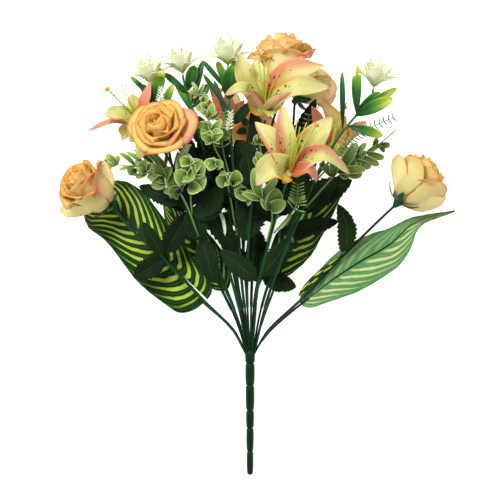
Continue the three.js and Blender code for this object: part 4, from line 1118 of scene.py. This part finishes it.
# %% Lily petal
def lily_petal(mesh, seat, axis, middle, tip, width, kind):
    out = middle - seat
    out = (out - axis * out.dot(axis)).normalized()
    foot = seat + axis * (TUBE_LENGTH - 5) + out * 3.9
    neck = seat + axis * (TUBE_LENGTH + 3) + out * 5.8
    line = smooth_line([foot, neck, middle, tip])
    side = out.cross(axis).normalized()
    full = outline(0.8, 0.82, 0.03)
    shape = lambda v: max(full(v), 0.3 * (1 - ease(0.1, 0.4, v)))
    phase = random.uniform(0, 6.28)

    def place(u, v):
        along_line = heading(line, v)
        level = along_line.cross(UP).normalized()
        turned = side.lerp(level if level.dot(side) > 0 else -level, 0.6 * ease(0.1, 0.5, v))
        across = (turned - along_line * turned.dot(along_line)).normalized()
        normal = across.cross(along_line).normalized()
        half = width * STEP / 2 * shape(v)
        groove = -LILY_GROOVE * math.exp(-((u / 0.14) ** 2)) * ease(0, 0.3, v) * (1 - v)
        ruffle = LILY_RUFFLE * half * u * u * math.sin(17 * v + phase + (2.4 if u > 0 else 0))
        lift = LILY_CUP * half * u * u + groove + ruffle
        return line(v) + across * (half * u) + normal * lift

    sheet(mesh, place, 12, 24, 0, petal_paint(kind))


# %% [markdown]
# The stamens are moulded in one piece: a small knot in the throat, thin threads that bow outwards
# and end in slim anthers, and one thicker thread with the knobbly golden stigma.

# %% Stamens
def add_knob(mesh, place, radius, finish, stretch=1.0, way=UP):
    """A rounded bead on the end of a thread."""
    made = bmesh.ops.create_uvsphere(mesh, u_segments=8, v_segments=6, radius=radius)["verts"]
    bmesh.ops.scale(mesh, vec=(1, 1, stretch), verts=made)
    bmesh.ops.transform(mesh, matrix=stand(place, way), verts=made)
    dress(made, finish)


def add_thread(mesh, root, axis, end, bulge, radii, finish):
    middle = root.lerp(end, 0.5) + axis * bulge + UP * 2
    line = smooth_line([root + axis, middle, end])
    taper(mesh, line, 10, *radii, 6, finish)
    return heading(line, 1.0)


for key, ((seat, axis, *ends), *petals) in LILIES.items():
    seat, axis = at(*seat), Vector(axis).normalized()
    mesh = new_mesh()
    for middle, tip, width, kind in petals:
        lily_petal(mesh, seat, axis, at(*middle), at(*tip), width, kind)
    piece_of(mesh, f"lily_{key}_blades", [lily_face, lily_underside],
             [f"lily_{key}_petals"], PETAL_THICKNESS, back=True)
    throat = new_mesh()
    tube(throat, [seat + axis * z for z in (0, 1, 3, 5, 7.5, 9)],
         [2.4, 2.8, 3.4, 3.9, 4.7, 5.2], 14)
    piece_of(throat, f"lily_{key}_tube", [coral_tube], [f"lily_{key}_petals"])
    threads = new_mesh()
    root = seat + axis * (TUBE_LENGTH - 3 + GAP)
    tube(threads, [root, root + axis * 2], [1.4, 1.4], 8)
    for k, place in enumerate(ends):
        end = at(*place)
        bulge, radii = (8, (0.8, 0.6)) if k else (7, (1.1, 0.9))
        way = add_thread(threads, root, axis, end, bulge, radii, 0)
        if k:
            add_knob(threads, end, 0.85, 0, 2.4, way)
        else:
            for lobe in range(3):
                shift = stand(Vector(), way) @ spoke(2 * math.pi * lobe / 3)
                add_knob(threads, end + shift * 1.5, 2.1, 1, 1.0, way)
    piece_of(threads, f"lily_{key}_threads", [thread_plastic, stigma_plastic],
             [f"lily_{key}_stamens"])
    stem = new_mesh()
    add_stem(stem, f"lily_{key}", seat, axis, 2.2)
    piece_of(stem, f"lily_{key}_stalk", [bright_stem if key == "2" else stem_plastic],
             [f"lily_{key}_stem"])

# %% [markdown]
# ## White flowers and their sprigs
# Small moulded stars on stiff green sprigs. Five broad petals stay upright round a short green
# throat with a few threads, and five narrower ones spread between them. The narrow glossy leaves
# of the sprig are sprayed lime at their tips.

# %% White flowers: seat, axis, size and leaves (share of the stem, tip, width, bow, lime)
WHITES = table("""
1: 151,86,99 -0.12,1,0.35 1.15; 0.97 161,68,106 14 0.08 0.1; 0.93 173,84,102 9 0.06 0;
    0.97 130,76,96 6 0.06 -0.2; 0.92 141,84,92 11 0.05 -0.3; 0.9 167,92,96 12 0.05 -0.3;
2: 183,76,88 -0.14,1,0.3 1.15; 0.97 195,65,96 14 0.06 -0.25; 0.93 203,60,92 8 0.05 -0.45;
    0.96 164,73,82 8 0.1 -0.35; 0.92 209,84,88 10 0.05 -0.45; 0.9 175,79,78 9 0.05 0.1;
3: 228,68,109 0,1,0.35 1.25; 0.93 233,66,122 22 0.08 -0.35; 0.96 217,61,112 9 0.08 0.05;
    0.95 202,60,100 6 0.08 -0.4; 0.96 236,60,114 10 0.06 -0.1; 0.9 203,74,96 6 0.06 -0.4;
    0.86 214,80,96 6 0.06 -0.5;
4: 373,90,137 0.16,1,0.3 1.2; 0.9 342,71,140 6 0.05 -0.35; 0.99 354,75,142 8 0.06 -0.2;
    1 358,64,146 7 0.08 0; 1 397,88,146 9 0.08 0; 0.98 393,98,152 14 0.08 0.05;
    0.93 383,136,132 11 0.12 0.02; 0.98 380,92,140 12 0.08 -0.2
""")


def add_star(mesh, matrix):
    """Petals of one white flower: five that spread and five that stay upright."""
    for k in range(10):
        out = spoke(2 * math.pi * k / 10 + 0.2)
        if k % 2:
            tip, width, bow = out * random.uniform(12, 15) + UP * 24, 13, -0.06
        else:
            tip, width, bow = out * 26 + UP * random.uniform(12, 18), 9, 0.1
        surface = limb(out * 2.4 + UP * 4, tip, UP, width, outline(0.65, 0.5, 0.04), bow, 0.3,
                       wave=0.1, waves=2)
        sheet(mesh, lambda u, v: matrix @ surface(u, v), 8, 12)


def add_throat(mesh, matrix):
    line = [matrix @ Vector((0, 0, z)) for z in (0, 2, 5, 8, 10.5)]
    tube(mesh, line, [1.4, 1.5, 2.0, 2.6, 3.0], 10)
    for k in range(5):
        turn = 2 * math.pi * k / 5
        reach = 5.0 if k else 0.5
        low = matrix @ Vector((reach * 0.2 * math.cos(turn), reach * 0.2 * math.sin(turn), 9))
        high = matrix @ Vector((reach * 1.7 * math.cos(turn), reach * 1.7 * math.sin(turn),
                                27 if k else 31))
        tube(mesh, [low, low.lerp(high, 0.5), high], [0.6, 0.55, 0.5], 5)
        add_knob(mesh, high, 0.9, 1, 1.4, high - low)


for key, ((place, axis, size), *leaves) in WHITES.items():
    name = f"white_{key}"
    seat, axis = at(*place), Vector(axis)
    matrix = stand(seat, axis) @ Matrix.Scale(size, 4)
    mesh = new_mesh()
    add_star(mesh, matrix)
    piece_of(mesh, f"{name}_star", [white_plastic], [f"{name}_bloom"],
             LEAF_THICKNESS)
    throat = new_mesh()
    add_throat(throat, matrix)
    piece_of(throat, f"{name}_throat", [pale_thread, thread_plastic],
             [f"{name}_bloom"])
    stem = new_mesh()
    add_stem(stem, name, seat, axis)
    piece_of(stem, f"{name}_stalk", [bright_stem], [f"{name}_sprig"])
    mesh = new_mesh()
    for share, tip, width, bow, lime in leaves:
        surface = limb(stem_lines[name](share), at(*tip), UP, width, outline(0.85, 0.55, 0.05),
                       bow=bow, fold=0.35)
        sheet(mesh, surface, 6, 14, marks=lambda u, v: {"margin": lime})
    piece_of(mesh, f"{name}_leaves", [sprig_leaf], [f"{name}_sprig"], STIFF_THICKNESS)

# %% [markdown]
# ## Eucalyptus
# Sprays of round, slightly cupped leaves with a powdery pale rim. They sit close together on a
# thin branch that is pushed onto the stem of a neighbour.

# %% Eucalyptus: carrier, share of its stem, shade, leaves in a cluster and path of the branch,
# then the clusters (share, tip, width, facing)
# The shade is the lowest tone of a cluster's leaves; the low shades of clusters 3, 6 and 7 darken
# them partly as painted shade of the leaves around them.
EUCALYPTUS = table("""
1: white_3 0.55 0.4 3 224,168,112 213,143,138 206,108,146 197,92,146;
    0.52 223,133,150 8 0.3,0.2,1; 0.52 201,134,150 9 -0.3,0,1; 0.58 222,120,150 8 0.3,0.2,1;
    0.6 197,124,150 10 -0.3,0.2,1; 0.66 213,103,152 8 0.2,0.5,1; 0.68 217,112,152 9 0.2,0.5,1;
    0.74 196,110,152 9 -0.2,0.3,1; 0.84 206,94,152 9 0.4,0.2,1; 0.97 188,91,150 4 -0.3,0,1;
    0.97 192,82,150 4 0,0.3,1; 0.97 204,83,150 4 0.3,0,1;
2: lily_4 0.72 0.4 3 160,168,70 140,167,66 112,164,64; 0.15 150,151,78 6 0.2,0.3,1;
    0.28 142,150,74 6 0.3,0.3,1; 0.3 147,178,74 9 0,-0.3,1; 0.42 134,150,72 6 0.3,0.3,1;
    0.5 136,178,68 8 0,-0.4,1; 0.58 126,152,70 6 0.3,0.3,1; 0.72 119,153,68 6 0.3,0.3,1;
    0.94 106,155,66 9 0,0.2,1; 1 103,162,66 11 0,0,1;
3: rose_a 0.62 -0.3 3 182,196,118 170,184,122 151,173,124 134,171,124;
    0.3 168,170,130 15 -0.4,0.3,1; 0.34 170,187,130 17 0,-0.4,1; 0.55 158,164,136 16 -0.5,0.3,1;
    0.6 152,187,130 15 -0.2,-0.4,1; 0.82 146,160,134 13 -0.5,0.3,1; 0.98 129,175,128 13 -0.6,0,1;
4: rose_a 0.7 0.4 3 190,186,118 190,174,132 189,163,152; 0.4 205,175,142 21 0.2,-0.3,1;
    0.55 176,170,150 20 -0.3,-0.1,1; 0.6 184,152,146 22 -0.2,0.3,1; 0.62 202,160,150 20 0.4,0.2,1;
    0.8 195,178,156 19 0.1,-0.5,1; 0.98 180,158,158 12 -0.3,0.2,1;
5: lily_1 0.66 0.4 3 244,192,118 232,184,134 222,172,144 214,163,148;
    0.2 252,195,134 19 0.2,-0.2,1; 0.3 235,196,136 19 0,-0.3,1; 0.5 236,170,150 16 0.3,0.3,1;
    0.6 216,178,148 16 -0.3,-0.3,1; 0.9 223,162,156 11 0.3,0.3,1; 0.95 204,162,154 12 -0.3,0,1;
6: lily_2 0.62 0 3 272,212,124 260,196,134 262,160,146 259,140,148; 0.3 276,188,142 19 0.2,0,1;
    0.45 254,168,146 11 -0.3,0,1; 0.7 272,150,152 12 0.3,0,1; 0.72 254,157,150 10 -0.3,0,1;
    0.97 256,135,152 9 -0.3,0,1; 0.97 267,135,154 9 0.3,0,1;
7: white_4 0.64 -0.3 2 336,174,110 352,160,112 374,148,110 396,130,106;
    0.22 336,153,114 11 0,0.3,1; 0.27 357,143,118 12 0.2,0.2,1; 0.3 351,175,112 12 -0.3,-0.3,1;
    0.36 362,175,112 13 0,-0.4,1; 0.5 371,167,112 10 0.2,-0.3,1; 0.54 366,143,114 7 0,0.3,1;
    0.6 379,165,108 8 0.2,-0.3,1; 0.66 384,158,108 8 0.3,-0.3,1; 0.74 377,138,110 6 0.2,0.3,1;
    0.8 390,145,106 7 0.3,-0.2,1
""")
SPRIG_RADIUS = 1.1
CLUSTER = ((0, 1, 0), (0.9, 0.8, 2.5), (-1.0, 0.65, -2.5))  # turn, scale and lift of its leaves


def sprout(name, share, towards):
    """Start of a side branch on the skin of a stem."""
    place = stem_lines[name](share)
    along_stem = heading(stem_lines[name], share)
    way = towards - place
    lean = abs(way.normalized().dot(along_stem))
    way = (way - along_stem * way.dot(along_stem)).normalized()
    stem_radius = lerp(SLEEVE_RADIUS, THIN_RADIUS, share)
    return place + way * (stem_radius + GAP + 0.1 + SPRIG_RADIUS * lean * lean)


def branch_line(carrier, share, via):
    path = [at(*place) for place in via]
    return smooth_line([sprout(carrier, share, path[0])] + path)


for key, ((carrier, share, shade, count, *via), *leaves) in EUCALYPTUS.items():
    line = branch_line(carrier, share, via)
    branch = new_mesh()
    taper(branch, line, 16, 1.1, 0.7, 7)
    piece_of(branch, f"eucalyptus_{key}_branch", [pale_stem], [f"eucalyptus_{key}"])
    mesh = new_mesh()
    for place, tip, width, facing in leaves:
        base, reach = line(place), at(*tip) - line(place)
        hand = random.choice((-1, 1))
        for turn, scale, lift in CLUSTER[:count]:
            leaf = Matrix.Rotation(turn * hand, 3, "Z") @ reach * scale + UP * lift
            surface = limb(base, base + leaf, Vector(facing), 1.02 * scale * width,
                           outline(0.55, 0.45, 0.03), bow=0.14, cup=0.5, wave=0.06, waves=2)
            # The leaves' tone starts at the cluster's shade, which on some clusters is partly
            # painted shade.
            sheet(mesh, lambda u, v: surface(u, (1 - math.cos(math.pi * v)) / 2), 8, 12,
                  tone=random.uniform(shade, shade + 0.6))
    piece_of(mesh, f"eucalyptus_{key}_leaves", [eucalyptus_leaf],
             [f"eucalyptus_{key}"], LEAF_THICKNESS)

# %% [markdown]
# ## Fern
# Fine fronds: a thin rib with pointed leaflets on both sides that get shorter towards the tip.
# There are many leaflets, so each is only a small sheet of a dozen faces.

# %% Fronds: carrier and share of its stem, pairs and reach of the leaflets, path
FERNS = table("""
1: white_4 0.72 9 11 337,158,116 350,141,119 368,129,119 395,117,112;
2: lily_2 0.66 5 13 296,206,130 297,198,134 298,184,138;
3: white_3 0.7 6 10 222,142,112 225,130,116 224,112,118;
4: lily_3 0.8 6 11 306,160,86 307,140,84 309,114,80
""")

for key, [(carrier, share, pairs, reach, *via)] in FERNS.items():
    line = branch_line(carrier, share, via)
    mesh = new_mesh()
    taper(mesh, line, 14, 1.0, 0.4, 6, 1)
    for k in range(2 * pairs):
        t = lerp(0.28, 0.98, k / (2 * pairs - 1))
        length = reach * (1 - 0.5 * t * t) * random.uniform(0.85, 1.05)
        way = heading(line, t)
        across = way.cross(UP).normalized()
        for side in (-1, 1):
            base = line(t)
            tip = base + across * (side * length) + way * (0.45 * length)
            tip += UP * random.uniform(-2, 2)
            surface = limb(base, tip, UP, 1.5, outline(0.6, 0.7, 0.06), bow=0.05, fold=0.3)
            sheet(mesh, surface, 2, 6)
    piece_of(mesh, f"fern_{key}_frond", [fern_leaf, pale_stem], [f"fern_{key}"],
             FERN_THICKNESS)

# %% [markdown]
# Frosted tips of short fronds look out between the flowers, and two narrow pale blades bend
# through the gaps of the dark leaves.

# %% Frond tips: foot, tip, reach; pale blades: foot, tip, sway
FROSTED = [((160, 106, 104), (161, 87, 106), 6), ((180, 158, 128), (189, 145, 132), 5),
           ((228, 136, 118), (231, 112, 120), 6)]
PALE_BLADES = [((292, 198, 96), (276, 231, 82), -0.14), ((214, 201, 88), (225, 236, 80), -0.08)]
mesh = new_mesh()
for low, high, reach in FROSTED:
    base, tip = at(*low), at(*high)
    tube(mesh, [base.lerp(tip, k / 4) for k in range(5)], [0.7, 0.6, 0.55, 0.5, 0.4], 6)
    across = (tip - base).cross(UP).normalized()
    for k in range(12):
        share = lerp(0.2, 0.95, k / 11)
        out = across * (reach * (1.1 - 0.7 * share)) * (1 if k % 2 else -1)
        foot = base.lerp(tip, share)
        surface = limb(foot, foot + out + (tip - base) * 0.16, UP, 1.8, outline(0.6, 0.7, 0.06))
        sheet(mesh, surface, 2, 6, marks=lambda u, v: {"margin": 0.7})
for low, high, sway in PALE_BLADES:
    surface = limb(at(*low), at(*high), UP, 4, outline(0.3, 0.35), bow=0.06, cup=0.5, sway=sway)
    sheet(mesh, surface, 6, 12, marks=lambda u, v: {"margin": 0.6 - 0.6 * v})
piece_of(mesh, "frosted_tips", [fern_leaf], [], FERN_THICKNESS)

# %% [markdown]
# ## Large striped leaves
# Each leaf is one sheet over its midrib. The half-width is given at places along the midrib that
# lie closer together near the stem, where the blade reaches back in two lobes. The edges ripple
# and the lateral veins are pressed in. One leaf is turned over and shows its pale back.

# %% Striped leaves: reach of the lobes and number of stripes, places of the midrib, then the
# half-widths in steps on the left and on the right
STRIPED = table("""
1: 0.24 13; 183,276,31 150,243,33 114,207,24 84,188,1.5;
    28 31 33 35 37 38 38 36 34 32.5 32 33 34 34 30 19 1;
    15 17 19 20 22 24 26 27 28.5 30 32 31.5 29.5 25 17 9 1;
2: 0.08 9; 222,283,19 204,258,22 182,228,20 163,198,10; 5 12 17 20 20 18 15 9 1;
    5 12 17 20 20 18 15 9 1;
3: 0.06 8; 281,271,30 292,248,34 303,231,35 327,198,32 352,168,20; 6 14 20 22 21 19 15 9 1;
    4 12 18 21 21 19 15 9 1;
4: 0.06 11; 309,298,32 332,280,36 356,264,39 390,244,39 414,223,35 455,211,30;
    6 11 16 20 22.5 19 10.5 4 0.7; 8 13 19.5 25 26.7 24.5 15.5 4.5 0.7
""")
RIPPLE = 0.06
VEIN_RELIEF = 0.5


def stripe_turns(count, u, s):
    """How many stripes lie between the foot of the leaf and this place."""
    v = s**1.2
    return count * (v - 0.36 * abs(u) ** 1.5 * (0.75 + 0.5 * v)) + (0.3 if u < 0 else 0)


def striped_surface(rib, left, right, lobes, count):
    line = smooth_line([at(*place) for place in rib])
    steps = [line(k / 60) for k in range(61)]
    length = sum((q - p).length for p, q in zip(steps, steps[1:]))
    back = -heading(line, 0)

    def place(u, s):
        v = s**1.2
        along_rib = heading(line, v)
        side = along_rib.cross(UP).normalized()
        normal = side.cross(along_rib)
        foot = math.sqrt(1 - (1 - min(1, s / 0.1)) ** 2)
        wide = STEP * along(left if u < 0 else right, s) * max(0.05, foot)
        ripple = RIPPLE * wide * u * u * math.sin(4 * math.pi * v + (0 if u > 0 else 1))
        droop = wide * (0.12 * abs(u) - 0.2 * u * u) + ripple
        vein = VEIN_RELIEF * math.sin(2 * math.pi * stripe_turns(count, u, s)) * abs(u)
        reach = lobes * length * (1 - v) ** 3.5 * abs(u)
        return line(v) + side * (wide * u) + normal * (droop + vein) + back * reach

    return place


# %% Margins that rolled over and show the other side: leaf, width, path
ROLLS = table("""
4: 7 299,296,38 307,286,42 317,276,45 328,267,45 340,257,43;
2: 8 213,200,26 219,214,27 223,230,27 228,248,26
""")


def rolled_margin(width, *via):
    line = smooth_line([at(*place) for place in via])
    shape = outline(0.45, 0.45, 0.05)

    def place(u, v):
        side = heading(line, v).cross(UP).normalized()
        half = width / 2 * shape(v)
        return line(v) + side * (half * u) + UP * (0.6 * half * (1 - u * u))

    return place


for key, ((lobes, count), rib, left, right) in STRIPED.items():
    mesh = new_mesh()
    for roll in ROLLS.get(key, ()):
        sheet(mesh, rolled_margin(*roll), 8, 24, 1, lambda u, v: {"stripe": 3 * v - 0.6 * u})
    sheet(mesh, striped_surface(rib, left, right, lobes, count), 24, 96,
          marks=lambda u, s: {"stripe": stripe_turns(count, u, s)})
    faces = [striped_back, striped_front] if key == "4" else [striped_front, striped_back]
    piece_of(mesh, f"striped_{key}_blade", faces, [f"striped_leaf_{key}"],
             STIFF_THICKNESS, back=True)
    stem = new_mesh()
    add_stem(stem, f"leaf_{key}")
    piece_of(stem, f"striped_{key}_stalk", [stem_plastic],
             [f"striped_leaf_{key}"])

# %% [markdown]
# ## Floor, light and camera
# The bouquet lies on white card in a light box: an almost even white world, a soft lamp from the
# upper left that gives the petals their shading, a weak wide one from the lower right, and a
# camera straight above.

# %% Floor
CARD_REACH, CARD_DROP = 3.0, 0.0005
mesh = bmesh.new()
bmesh.ops.create_grid(mesh, x_segments=1, y_segments=1, size=CARD_REACH)
bmesh.ops.translate(mesh, vec=(0, 0, -CARD_DROP), verts=mesh.verts)
data = bpy.data.meshes.new("white_card")
mesh.to_mesh(data)
mesh.free()
floor = add_object("white_card", data)
card, tree = new_material("white_card")
fibres = grain(tree, 900.0)
settle(tree, ramp(tree, fibres, [(0.0, 0xFBFBFB), (1.0, 0xFFFFFF)]), 0.9, fibres,
       bump=0.02, Emission_Color=(1, 1, 1, 1), Emission_Strength=0.75)
data.materials.append(card)

# %% Light
WORLD_STRENGTH = 0.4
world = bpy.data.worlds.new("light_box")
world.use_nodes = True
sky = world.node_tree.nodes["Background"]
wire(world.node_tree, sky, {"Color": (1, 1, 1, 1), "Strength": WORLD_STRENGTH})
bpy.context.scene.world = world


def soft_lamp(name, place, aim, size, power):
    data = bpy.data.lights.new(name, "AREA")
    data.size = size
    data.energy = power
    lamp = add_object(name, data)
    lamp.location = place
    lamp.rotation_euler = (Vector(aim) - Vector(place)).to_track_quat("-Z", "Y").to_euler()


soft_lamp("key_lamp", (-0.5, 0.75, 1.5), (0, 0.05, 0), 0.5, 27)
soft_lamp("fill_lamp", (0.8, -0.3, 1.5), (0, 0, 0), 1.2, 5)

# %% Camera
data = bpy.data.cameras.new("camera")
data.sensor_width = 36
data.lens = data.sensor_width * (EYE.z - REFERENCE_HEIGHT) / (2 * MIDDLE * STEP)
camera = add_object("camera", data)
camera.location = EYE * MM
bpy.context.scene.camera = camera
bpy.context.scene.view_settings.view_transform = "Standard"
print("lens", round(data.lens, 1), "mm, camera", tuple(round(c, 3) for c in camera.location))
